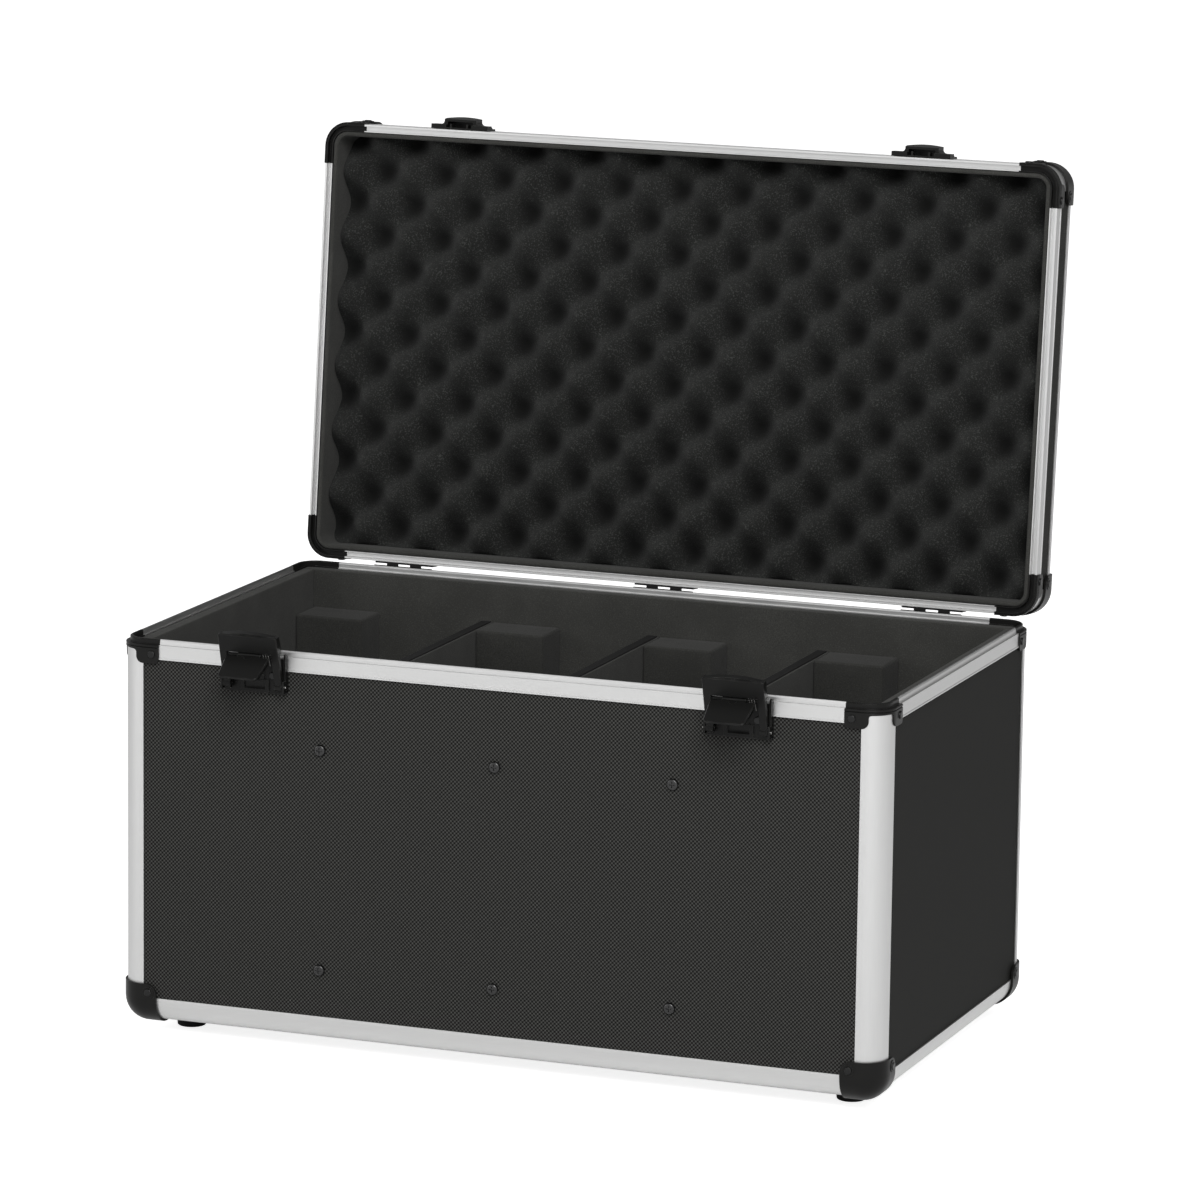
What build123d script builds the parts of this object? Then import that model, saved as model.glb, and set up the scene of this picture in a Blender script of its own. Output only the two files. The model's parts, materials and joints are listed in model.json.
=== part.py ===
"""Lighting flight case: a body with four foam-lined bays, a hinged foam-filled lid and two draw latches."""

import math
import os

from build123d import *

# Driving dimensions, in millimetres. The origin is on the ground under the middle of the body.
CASE_W = 640.0
CASE_D = 364.0
BODY_H = 308.0
LID_H = 54.0
FOOT_H = 12.0
LID_OPEN = 96.0

# Aluminium extrusions and the panels that they hold.
WALL = 1.2
PLY = 4.0
EDGE_R = 19.0
EDGE_FACE = 20.5
WEB_AT = 16.2
LEG_END = 22.4
LEG_T = 1.0
RIM_FACE = 11.6
RIM_ARM = 34.0
STEP = 2.1
TONGUE_IN = 4.9
TONGUE_H = 4.3
SEAM_GAP = 0.4
GROOVE_H = 5.4

# Moulded corners and their rivets.
BALL_SKIN = 2.0
BALL_LEG = 32.0
BALL_RIVET = 25.0
CAP_PROUD = 1.2
CAP_H = 4.4
FLAP_H = 15.0
FLAP_IN = 14.7
RIM_RIVET = 28.0
RIM_RIVET_DROP = 7.6
RIVET_HEAD = 3.1
RIVET_SHANK = 1.6
TAIL_R = 2.2

# Foam, bays and dividers.
LINER = 10.0
LINER_GAP = 0.2
FLOOR_PAD = 8.0
DIVIDERS_X = (-147.5, 0.0, 147.5)
DIVIDER_T = 8.0
FACING_T = 2.0
DIVIDER_DROP = 32.0
BLOCK_W = 60.0
BLOCK_D = 40.0
SCREW_Z = (58.0, 235.5)
SCREW_SHANK = 1.9
LID_LINER = 4.0
BUMP_X = 52.8
BUMP_Y = 54.4
BUMP_AT = (14.8, -142.0)
BUMP_TOP = 10.0
BUMP_BASE = 33.0

# Hinges.
HINGES_X = (-232.5, 0.0, 232.5)
HINGE_W = 52.0
HINGE_OFF = 6.0
PIN_R = 1.5
KNUCKLE_R = 3.0
LEAF_T = 1.2
LEAF_H = {-1: 36.0, 1: 32.6}
LEAF_RIVETS = {-1: (18.5, 29.0), 1: (17.4, 25.8)}

# Draw latches, drawn upright about their lower pin and then leant out.
LATCHES_X = (-201.8, 201.8)
LATCH_PIN = (5.4, -23.5)
LATCH_LEAN = 16.0
LEVER_OPEN = 75.0
FRAME_W = 50.0
FRAME_TOP = 45.0
WINDOW_W = 37.6
WINDOW_TOP = 28.7
FRAME_FACE = 2.0
LEVER_AT = (-0.5, 26.0)
LEVER_L = 29.8
NOSE = (-4.7, -3.1, 6.0)
FRAME_PIN_R = 1.3
LEVER_PIN_R = 1.2
RUN_GAP = 0.06
EAR_IN = 25.4
EAR_OUT = 27.0

# Carrying handle on the lid.
HANDLE_W = 118.0
HANDLE_REACH = 34.0
HANDLE_PIVOT = (-16.0, 7.5)
HANDLE_HANG = 6.0
HANDLE_PIN_R = 2.5

# Feet.
FOOT_R = 12.5
FOOT_AT = (280.4, 131.0)

BASE_Z = FOOT_H
SEAM_Z = FOOT_H + BODY_H
HALF_W = CASE_W / 2
HALF_D = CASE_D / 2
PANEL_OUT = WALL + 0.1
PANEL_IN = PANEL_OUT + PLY
PANEL_EDGE = WEB_AT + WALL + 0.1
SKIN_IN = PANEL_IN + LEG_T
LINER_OUT = SKIN_IN + LINER_GAP
LID_LINER_R = EDGE_R - LINER_OUT
BAY_IN = LINER_OUT + LINER
FLOOR_Z = BASE_Z + SKIN_IN + FLOOR_PAD
BAR_END = LEG_END + 0.2
HINGE_Y = HALF_D + HINGE_OFF
CORNERS = ((-1, -1), (1, -1), (1, 1), (-1, 1))
DIVIDER_HALF = DIVIDER_T / 2 + FACING_T


def block(x0, x1, y0, y1, z0, z1):
    """A rectangular block between two corners."""
    return Pos((x0 + x1) / 2, (y0 + y1) / 2, (z0 + z1) / 2) * Box(x1 - x0, y1 - y0, z1 - z0)


def patch(u0, u1, v0, v1):
    """A flat rectangle between two corners."""
    return Pos((u0 + u1) / 2, (v0 + v1) / 2) * Rectangle(u1 - u0, v1 - v0)


def group(parts):
    """Separate solids kept side by side in one node."""
    return Compound(children=[solid for part in parts for solid in part.solids()])


def save(name, shape):
    export_step(shape, f"parts/{name}.step")


def opened(shape):
    """A piece drawn on the shut lid, swung back to the open stop."""
    away = Pos(0, -HINGE_Y, -SEAM_Z)
    return Pos(0, HINGE_Y, SEAM_Z) * Rot(-LID_OPEN, 0, 0) * away * shape


def round_outline(inset, corner):
    """The case's plan outline moved in by inset, with rounded corners."""
    return RectangleRounded(CASE_W - 2 * inset, CASE_D - 2 * inset, corner)


def plan_ring(outer, inner, z0, z1, square=False):
    """A band round the case between two insets, from one height to another."""
    curve = 0.4 if square else EDGE_R - inner
    flat = round_outline(outer, EDGE_R - outer) - round_outline(inner, curve)
    return Pos(0, 0, z0) * extrude(flat, z1 - z0)


def at_corner(k, z):
    """The place of one of the four corners of the plan, turned so that its sides run along +X and +Y."""
    sx, sy = CORNERS[k]
    return Pos(sx * HALF_W, sy * HALF_D, z) * Rot(0, 0, 90 * k)


def edge_bar(length):
    """Quarter-round edge extrusion: curved wall, two lips, two webs and two inner legs."""
    curve = Pos(EDGE_R, EDGE_R) * (Circle(EDGE_R) - Circle(EDGE_R - WALL))
    flat = curve & patch(0, EDGE_R, 0, EDGE_R)
    arm = patch(EDGE_R, EDGE_FACE, 0, WALL)
    arm += patch(WEB_AT, WEB_AT + WALL, 0.8 * WALL, SKIN_IN)
    arm += patch(WEB_AT, LEG_END, PANEL_IN, SKIN_IN)
    flat += arm
    flat += mirror(arm, about=Plane(origin=(0, 0, 0), z_dir=(1, -1, 0)))
    return extrude(flat, length)


def bars_upright(z0, z1):
    """The four corner extrusions between two heights."""
    bar = edge_bar(z1 - z0)
    return [at_corner(k, z0) * bar for k in range(4)]


def bars_level():
    """The four bottom-edge extrusions of a box whose underside is at height 0."""
    long_bar = edge_bar(CASE_W - 2 * BAR_END)
    short_bar = edge_bar(CASE_D - 2 * BAR_END)
    along_x = Plane(origin=(BAR_END - HALF_W, -HALF_D, 0), x_dir=(0, 1, 0), z_dir=(1, 0, 0)).location
    along_y = Plane(origin=(-HALF_W, HALF_D - BAR_END, 0), x_dir=(1, 0, 0), z_dir=(0, -1, 0)).location
    turn = Rot(0, 0, 180)
    front = along_x * long_bar
    left = along_y * short_bar
    return [front, turn * front, left, turn * left]


def rim_bar(flat, length):
    """A rim extrusion along X. Its section is drawn as inset from the face and height from the seam."""
    lay = Plane(origin=(-length / 2, 0, 0), x_dir=(0, 1, 0), z_dir=(1, 0, 0)).location
    return lay * extrude(flat, length)


def rims(flat):
    """The four rim extrusions that one section makes, with their undersides on the seam."""
    long_bar = Pos(0, -HALF_D, SEAM_Z) * rim_bar(flat, CASE_W - 2 * RIM_ARM)
    short_bar = Pos(-HALF_W, 0, SEAM_Z) * Rot(0, 0, -90) * rim_bar(flat, CASE_D - 2 * RIM_ARM)
    turn = Rot(0, 0, 180)
    return {"front": long_bar, "back": turn * long_bar, "left": short_bar, "right": turn * short_bar}


def tongue_section():
    """Body rim: panel slot below the seam and a tapered tongue above it."""
    flat = patch(0, WALL, -RIM_FACE, 0) + patch(PANEL_IN, SKIN_IN, -RIM_FACE, 0)
    flat += patch(0, SKIN_IN, -1.4, 0)
    flat += patch(-0.4, WALL, -RIM_FACE, 1.2 - RIM_FACE)
    tongue = [(STEP, -0.5), (STEP + 0.3, 3.0), (STEP + 1.0, TONGUE_H), (TONGUE_IN - 0.8, TONGUE_H),
              (TONGUE_IN, 3.2), (TONGUE_IN, -0.5)]
    return flat + make_face(Polyline(*tongue, close=True))


def groove_section():
    """Lid rim: a groove for the tongue, then the slot for the lid's wall."""
    flat = patch(0, STEP - 0.5, SEAM_GAP, GROOVE_H) + patch(TONGUE_IN + 0.6, SKIN_IN, SEAM_GAP, GROOVE_H)
    flat += patch(0, SKIN_IN, GROOVE_H, GROOVE_H + 1.4)
    flat += patch(0, WALL, GROOVE_H, RIM_FACE) + patch(PANEL_IN, SKIN_IN, GROOVE_H, RIM_FACE)
    return flat + patch(-0.4, WALL, RIM_FACE - 1.2, RIM_FACE)


def corner_box(sx, sy, reach, z0, z1):
    """A block over one corner of the plan, reaching in by the given length."""
    xs = sorted((sx * (HALF_W - reach), sx * (HALF_W + 10)))
    ys = sorted((sy * (HALF_D - reach), sy * (HALF_D + 10)))
    return block(xs[0], xs[1], ys[0], ys[1], z0, z1)


def flaps(sign):
    """The two riveted flaps of one rim corner, drawn about the first quadrant's origin."""
    cap = CAP_H if sign < 0 else GROOVE_H + 1.4
    low = cap - 0.5
    flat = patch(FLAP_IN, RIM_ARM, low, FLAP_H)
    flat = fillet(flat.vertices().sort_by(Axis.Y)[-2:].sort_by(Axis.X)[0], 5.5)
    flat = fillet(flat.vertices().sort_by(Axis.X)[-2:].sort_by(Axis.Y)[-1], 3.5)
    flat += patch(FLAP_IN - 2.5, FLAP_IN + 0.2, low, cap + 2.5) - Pos(FLAP_IN - 2.5, cap + 2.5) * Circle(2.5)
    lay = Plane(origin=(0, 5, 0), x_dir=(1, 0, 0), z_dir=(0, -1, 0)).location
    prism = lay * extrude(flat, 10)
    skin = prism & (Pos(HALF_W, HALF_D, 0) * plan_ring(-CAP_PROUD, -0.02, 0, FLAP_H + 1))
    skin += prism & block(EDGE_FACE + 0.1, RIM_ARM, -0.1, WALL, low, FLAP_H)
    if sign < 0:
        skin = mirror(skin, about=Plane.XY)
    return skin, mirror(skin, about=Plane(origin=(0, 0, 0), z_dir=(1, -1, 0)))


def ridge(z0, z1):
    """One rounded ridge of a rim corner, all the way round the plan."""
    ring = plan_ring(-CAP_PROUD, WALL, z0, z1)
    flats = ring.faces().filter_by(Axis.Z).sort_by(Axis.Z)
    return fillet(flats[0].outer_wire().edges() + flats[-1].outer_wire().edges(), 0.7)


def rim_corners(sign):
    """Four moulded rim corners: sign -1 for the body, below the seam, and 1 for the lid, above it."""
    if sign < 0:
        band = plan_ring(-0.3, WALL, -CAP_H, 0) + plan_ring(-0.3, SKIN_IN, -1.4, 0, square=True)
        band += plan_ring(PANEL_IN, SKIN_IN, -CAP_H, 0, square=True)
        band += plan_ring(STEP, TONGUE_IN, -0.5, TONGUE_H - 0.6)
        band += plan_ring(STEP + 0.7, TONGUE_IN - 0.7, 3, TONGUE_H)
        ridges = ((-4.4, -2.35), (-2.1, -0.05))
    else:
        band = plan_ring(-0.3, STEP - 0.5, SEAM_GAP, GROOVE_H)
        band += plan_ring(-0.3, SKIN_IN, GROOVE_H, GROOVE_H + 1.4)
        band += plan_ring(TONGUE_IN + 0.6, SKIN_IN, SEAM_GAP, GROOVE_H)
        ridges = ((0.45, 2.45), (2.65, 4.65), (4.8, 6.75))
    for low, high in ridges:
        band += ridge(low, high)
    if sign > 0:
        band -= plan_ring(-0.2, 0.4, 0, SEAM_GAP + 0.8)
    out = []
    for k, (sx, sy) in enumerate(CORNERS):
        piece = band & corner_box(sx, sy, RIM_ARM, -20, 20)
        for side in flaps(sign):
            piece += at_corner(k, 0) * side
        piece = Pos(0, 0, SEAM_Z) * max(piece.solids(), key=lambda solid: solid.volume)
        for at, out_dir in rim_rivets(sign, sx, sy):
            piece -= hole(at, out_dir)
            piece -= stem(at, out_dir, Pos(0, 0, -CAP_PROUD - PANEL_IN - 1) * Cylinder(TAIL_R + 0.2, 2))
        out.append(piece)
    return out


def rim_rivets(sign, sx, sy):
    """Places and directions of one rim corner's two rivets."""
    z = SEAM_Z + sign * RIM_RIVET_DROP
    front = ((sx * (HALF_W - RIM_RIVET), sy * (HALF_D + CAP_PROUD), z), (0, sy, 0))
    side = ((sx * (HALF_W + CAP_PROUD), sy * (HALF_D - RIM_RIVET), z), (sx, 0, 0))
    return [front, side]


def ball_rivets(sx, sy, z, sz):
    """Places and directions of a ball corner's three rivets. z is its outer face and sz points out."""
    inner_z = z - sz * BALL_RIVET
    x, y = HALF_W - BALL_RIVET, HALF_D - BALL_RIVET
    front = ((sx * x, sy * (HALF_D + BALL_SKIN), inner_z), (0, sy, 0))
    side = ((sx * (HALF_W + BALL_SKIN), sy * y, inner_z), (sx, 0, 0))
    return [front, side, ((sx * x, sy * y, z + sz * BALL_SKIN), (0, 0, sz))]


def ball_corner():
    """A thin moulded corner over three edge extrusions, drawn about the first octant's origin."""
    def cut(size, start, radius):
        shape = block(start, size, start, size, start, size)
        near = [e for e in shape.edges() if sum(abs(c - start) < 1e-6 for c in tuple(e.center())) == 2]
        return fillet(near, radius)
    outer = cut(BALL_LEG, -BALL_SKIN, EDGE_R + BALL_SKIN)
    far = [e for e in outer.edges() if sum(abs(c - BALL_LEG) < 1e-6 for c in tuple(e.center())) == 2]
    outer = fillet(far, 9.0)
    return outer - cut(2 * BALL_LEG, 0, EDGE_R)


def ball_corners(z, sz):
    """Four ball corners on the bottom edges (sz -1) or the top edges (sz 1) of a box."""
    shell = ball_corner()
    out = []
    for k, (sx, sy) in enumerate(CORNERS):
        if sz < 0:
            piece = at_corner(k, z) * shell
        else:
            piece = at_corner(k, z) * Rot(0, 0, 90) * Rot(180, 0, 0) * shell
        for at, out_dir in ball_rivets(sx, sy, z, sz):
            piece += stem(at, out_dir, Pos(0, 0, 0.2) * (Cylinder(4.9, 0.7) - Cylinder(RIVET_HEAD + 0.2, 1)))
            piece -= hole(at, out_dir)
        out.append(piece)
    return out


def stem(at, direction, shape):
    """A shape drawn about +Z, set on a point of a surface and turned to point out of it."""
    return Plane(origin=at, z_dir=direction).location * shape


def hole(at, direction, radius=RIVET_SHANK):
    """The way through for a fastener, from 5 mm outside its seat to 30 mm inside."""
    return stem(at, direction, Pos(0, 0, -12.5) * Cylinder(radius, 35))


def rivet(at, direction, grip, head=RIVET_HEAD):
    """A pop rivet: domed head on the outer face, shank through the grip and a clinched tail behind."""
    dome = Pos(0, 0, 0.6) * Cylinder(head, 1.2)
    dome = fillet(dome.edges().sort_by(Axis.Z)[-1], 0.9)
    body = dome + Pos(0, 0, -grip / 2) * Cylinder(RIVET_SHANK, grip)
    body += Pos(0, 0, -grip - 0.4) * Cylinder(TAIL_R, 0.8)
    return stem(at, direction, body)


def screw(at, direction, length):
    """A pan-head screw with a cross recess."""
    head = Pos(0, 0, 1.3) * Cylinder(4.6, 2.6)
    head = fillet(head.edges().sort_by(Axis.Z)[-1], 1.6)
    for turn in (0, 90):
        head -= Rot(0, 0, turn) * block(-2.4, 2.4, -0.5, 0.5, 1.4, 3)
    return stem(at, direction, head + Pos(0, 0, -length / 2) * Cylinder(SCREW_SHANK, length))


def divider_screw_places():
    """Where the screws enter the front and back panels to hold the dividers."""
    return [((x, sy * (HALF_D - PANEL_OUT), BASE_Z + z), (0, sy, 0))
            for sy in (-1, 1) for x in DIVIDERS_X for z in SCREW_Z]


def latch_rivet_places(x):
    """Where the latch base is riveted to the front panel."""
    y = -HALF_D - 1.8
    return [((x + dx, y, SEAM_Z - 15.5), (0, -1, 0)) for dx in (-15.0, 15.0)]


def keeper_rivet_places(x):
    """Where a keeper is riveted to the lid's front wall."""
    y = -HALF_D - 2.0
    return [((x + dx, y, SEAM_Z + 17.5), (0, -1, 0)) for dx in (-20.6, 20.6)]


def hinge_rivet_places(x, sign):
    """Where one hinge leaf is riveted: sign -1 on the body's back, 1 on the lid's back."""
    near, far = LEAF_RIVETS[sign]
    spots = ((-17.0, near), (17.0, near), (0.0, far))
    return [((x + dx, HALF_D, SEAM_Z + sign * z), (0, 1, 0)) for dx, z in spots]


def foot_places():
    return [((sx * FOOT_AT[0], sy * FOOT_AT[1], 0.0), (0, 0, -1)) for sx, sy in CORNERS]


def body_panels():
    """Five plywood panels, each drilled for what is fixed to it."""
    low_z, high_z = BASE_Z + PANEL_EDGE, SEAM_Z - 1.5
    span_x, span_y = HALF_W - PANEL_EDGE, HALF_D - PANEL_EDGE
    front = block(-span_x, span_x, -HALF_D + PANEL_OUT, -HALF_D + PANEL_IN, low_z, high_z)
    left = block(-HALF_W + PANEL_OUT, -HALF_W + PANEL_IN, -span_y, span_y, low_z, high_z)
    turn = Rot(0, 0, 180)
    panels = {"front_panel": front, "back_panel": turn * front}
    panels.update({"left_panel": left, "right_panel": turn * left})
    panels["bottom_panel"] = block(-span_x, span_x, -span_y, span_y, BASE_Z + PANEL_OUT, BASE_Z + PANEL_IN)
    for sx, sy in CORNERS:
        for at, way in ball_rivets(sx, sy, BASE_Z, -1) + rim_rivets(-1, sx, sy):
            panels[panel_behind(way)] -= hole(at, way)
    for at, way in divider_screw_places():
        panels[panel_behind(way)] -= hole(at, way, SCREW_SHANK)
    for x in LATCHES_X:
        for at, way in latch_rivet_places(x):
            panels["front_panel"] -= hole(at, way)
    for x in HINGES_X:
        for at, way in hinge_rivet_places(x, -1):
            panels["back_panel"] -= hole(at, way)
    for at, way in foot_places():
        panels["bottom_panel"] -= hole(at, way, SCREW_SHANK)
    return panels


def panel_behind(way):
    """The name of the body panel that faces the given direction."""
    names = {(0, -1, 0): "front_panel", (0, 1, 0): "back_panel"}
    names.update({(-1, 0, 0): "left_panel", (1, 0, 0): "right_panel"})
    return names.get(tuple(way), "bottom_panel")


def liners():
    """Foam sheets on the inside of the four walls and on the floor."""
    top = SEAM_Z - 0.5
    x, y = HALF_W - LINER_OUT, HALF_D - LINER_OUT
    low = BASE_Z + SKIN_IN
    front = block(-x, x, -y, -y + LINER, low, top)
    front = chamfer(front.edges().filter_by(Axis.Y).sort_by(Axis.Z)[:2], 6.0)
    left = block(-x, -x + LINER, -y + LINER, y - LINER, low, top)
    turn = Rot(0, 0, 180)
    sheets = {"front_wall_liner": front, "back_wall_liner": turn * front}
    sheets["left_wall_liner"] = left
    sheets["right_wall_liner"] = turn * left
    for at, way in divider_screw_places():
        name = "front_wall_liner" if way[1] < 0 else "back_wall_liner"
        sheets[name] -= hole(at, way, SCREW_SHANK)
    sheets["floor_liner"] = block(-x + LINER, x - LINER, -y + LINER, y - LINER, low, FLOOR_Z)
    return sheets


def dividers():
    """Three black plywood dividers, and the six thin foam facings on them."""
    y = HALF_D - BAY_IN - 0.1
    top = SEAM_Z - DIVIDER_DROP
    boards, facings = [], []
    for x in DIVIDERS_X:
        board = block(x - DIVIDER_T / 2, x + DIVIDER_T / 2, -y, y, FLOOR_Z, top)
        for at, way in divider_screw_places():
            board -= hole(at, way, SCREW_SHANK)
        boards.append(board)
        for side in (-1, 1):
            x0, x1 = sorted((x + side * DIVIDER_T / 2, x + side * DIVIDER_HALF))
            facings.append(block(x0, x1, -y, y, FLOOR_Z, top - 0.8))
    return boards, facings


def foam_blocks():
    """One upright foam block in the back left corner of each bay."""
    back = HALF_D - BAY_IN - 0.3
    starts = [-HALF_W + BAY_IN + 0.3] + [x + DIVIDER_HALF + 0.3 for x in DIVIDERS_X]
    top = SEAM_Z - DIVIDER_DROP
    return [block(x, x + BLOCK_W, back - BLOCK_D, back, FLOOR_Z, top) for x in starts]


def feet():
    """Four tapered rubber feet with a recess for the screw head, and the screws."""
    height = FOOT_H + PANEL_OUT
    foot = Pos(0, 0, height / 2) * Cone(FOOT_R - 1.0, FOOT_R, height)
    foot = fillet(foot.edges().sort_by(Axis.Z)[0], 1.5)
    foot -= Pos(0, 0, 2.5) * Cylinder(5.4, 5.0)
    foot -= Cylinder(SCREW_SHANK, 60)
    soles, screws = [], []
    for at, way in foot_places():
        soles.append(Pos(at[0], at[1], 0) * foot)
        screws.append(screw((at[0], at[1], 5.0), way, height + PLY - 5.0))
    return soles, screws


def hinge_leaf(x, sign, fingers):
    """One hinge leaf: a plate stepped over the rim, and knuckles round the pin."""
    def flat(y0, y1, z0, z1):
        z_low, z_high = sorted((SEAM_Z + sign * z0, SEAM_Z + sign * z1))
        return block(x - HINGE_W / 2, x + HINGE_W / 2, HALF_D + y0, HALF_D + y1, z_low, z_high)
    leaf = flat(0.4, 0.4 + LEAF_T, 1.8, 13.0)
    leaf += flat(-PANEL_OUT, 0.4 + LEAF_T, 11.8, 13.0)
    leaf += flat(-PANEL_OUT, 0.0, 11.8, LEAF_H[sign])
    bore = PIN_R if sign < 0 else PIN_R + RUN_GAP
    count = 5
    pitch = HINGE_W / count
    for k in fingers:
        x0 = x - HINGE_W / 2 + k * pitch + 0.2
        x1 = x0 + pitch - 0.4
        barrel = Pos((x0 + x1) / 2, HINGE_Y, SEAM_Z) * Rot(0, 90, 0) * Cylinder(KNUCKLE_R, x1 - x0)
        z_low, z_high = sorted((sign * (KNUCKLE_R - LEAF_T), sign * KNUCKLE_R))
        arm = block(x0, x1, HALF_D + 0.4, HINGE_Y, SEAM_Z + z_low, SEAM_Z + z_high)
        leaf += barrel + arm
    leaf -= Pos(x, HINGE_Y, SEAM_Z) * Rot(0, 90, 0) * Cylinder(bore, HINGE_W + 2)
    for at, way in hinge_rivet_places(x, sign):
        leaf -= hole(at, way)
    return leaf


def hinge_pin(x):
    return Pos(x, HINGE_Y, SEAM_Z) * Rot(0, 90, 0) * Cylinder(PIN_R, HINGE_W + 0.6)


def cross_pin(radius, length):
    """A round pin along X about the origin."""
    return Rot(0, 90, 0) * Cylinder(radius, length)


def upright(x0, x1, n0, n1, l0, l1):
    """A block in a latch's own terms: n runs outwards from its lower pin and l upwards."""
    return block(x0, x1, -n1, -n0, l0, l1)


def side_plate(points, x0, x1):
    """A plate across X whose outline is given as (outwards, upwards) points."""
    flat = make_face(Polyline(*[(-n, l) for n, l in points], close=True))
    return Plane(origin=(x0, 0, 0), x_dir=(0, 1, 0), z_dir=(1, 0, 0)).location * extrude(flat, x1 - x0)


def facing_out(depth):
    """The place of an outline that is drawn flat and then stands up, facing outwards."""
    return Plane(origin=(0, depth, 0), x_dir=(1, 0, 0), z_dir=(0, -1, 0)).location


def latch_frame():
    """The draw frame: two legs on the lower pins, and a hood over the keeper with an arched back."""
    half, leg = FRAME_W / 2, WINDOW_W / 2
    face = Pos(0, (FRAME_TOP - 4.8) / 2) * RectangleRounded(FRAME_W, FRAME_TOP + 2.0, 1.6)
    face -= patch(-leg, leg, -10, WINDOW_TOP)
    plate = facing_out(0.2) * extrude(face, FRAME_FACE + 0.2)
    outer = plate.faces().sort_by(Axis.Y)[0]
    shape = chamfer(outer.edges(), 0.5)
    for sx in (-1, 1):
        x0, x1 = sorted((sx * leg, sx * half))
        shape += upright(x0, x1, -2.2, 0.0, 0.0, 32.0)
        shape += Pos((x0 + x1) / 2, 0, 0) * cross_pin(3.2, x1 - x0)
        c0, c1 = sorted((sx * (half - 2.2), sx * half))
        cheek = [(0.0, 27.5), (-4.0, 27.5), (-5.2, 28.6), (-5.2, 32.0), (-4.5, 43.0), (0.0, 43.0)]
        shape += side_plate(cheek, c0, c1)
    arch = Polyline((23.6, 42.4), (23.6, 41.0), (-23.6, 41.0), (-23.6, 42.4))
    arch = make_face(Curve() + [arch, ThreePointArc((-23.6, 42.4), (0, 44.9), (23.6, 42.4))])
    arch -= patch(-22, 22, 40, 42.2)
    shape += facing_out(4.5) * extrude(arch, 5.0)
    shape += upright(-22.9, 22.9, -4.5, 0.0, 42.0, 42.6)
    shape -= cross_pin(FRAME_PIN_R + RUN_GAP, 80)
    return shape - Pos(0, -LEVER_AT[0], LEVER_AT[1]) * cross_pin(LEVER_PIN_R, 80)


def latch_lever():
    """The finger lever with its two turned sides, drawn shut and hanging down from its own pin."""
    points = [(-18.0, -4.5), (18.0, -4.5), (18.0, -9.0), (16.6, -LEVER_L), (-16.6, -LEVER_L), (-18.0, -9.0)]
    face = make_face(Polyline(*points, close=True))
    face = fillet(face.vertices().sort_by(Axis.Y)[:2], 3.0)
    face -= Pos(0, -4.5) * Circle(3.0)
    front = FRAME_FACE - LEVER_AT[0]
    plate = facing_out(-1.0) * extrude(face, front - 1.0)
    shape = chamfer(plate.faces().sort_by(Axis.Y)[0].edges(), 0.5)
    shape += upright(-9.6, 9.6, -0.7, 1.2, -8.0, 0.0) + cross_pin(2.2, 19.2)
    for sx in (-1, 1):
        x0, x1 = sorted((sx * 15.2, sx * 16.4))
        shape += side_plate([(1.2, -5.0), (-4.5, -5.0), (-4.0, -12.0), (-1.2, -26.0), (1.2, -27.0)], x0, x1)
    shape += upright(-5, 5, NOSE[0], 0.0, -1.5, 1.2) + upright(-5, 5, NOSE[0], NOSE[1], -1.5, NOSE[2])
    return shape - cross_pin(LEVER_PIN_R + RUN_GAP, 60)


def torsion_spring(x, length, turn, radius, wire, legs):
    """One wire: a straight leg down behind the pin, a coil about X and a second straight leg."""
    path = Helix(pitch=length * 360 / turn, height=length, radius=radius)
    first, last = path @ 0, path @ 1
    start = first - (path % 0) * legs[0]
    whole = Wire([Line(start, first), path, Line(last, last + (path % 1) * legs[1])])
    tube = sweep(Plane(origin=start, z_dir=path % 0) * Circle(wire), path=whole)
    return Plane(origin=(x, 0, 0), x_dir=(0, 1, 0), z_dir=(1, 0, 0)).location * tube


def lever_spring():
    """The lever's torsion spring: one leg lies behind the lever, the other slants down beside it."""
    return torsion_spring(10.8, 5.7, 966.0, LEVER_PIN_R + 0.75, 0.4, (9.0, 7.0))


def latch_place(x):
    """The latch's lower pin."""
    return Pos(x, -HALF_D - LATCH_PIN[0], SEAM_Z + LATCH_PIN[1])


def frame_place(x):
    return latch_place(x) * Rot(LATCH_LEAN, 0, 0)


def lever_place(x):
    return frame_place(x) * Pos(0, -LEVER_AT[0], LEVER_AT[1]) * Rot(-LEVER_OPEN, 0, 0)


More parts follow.
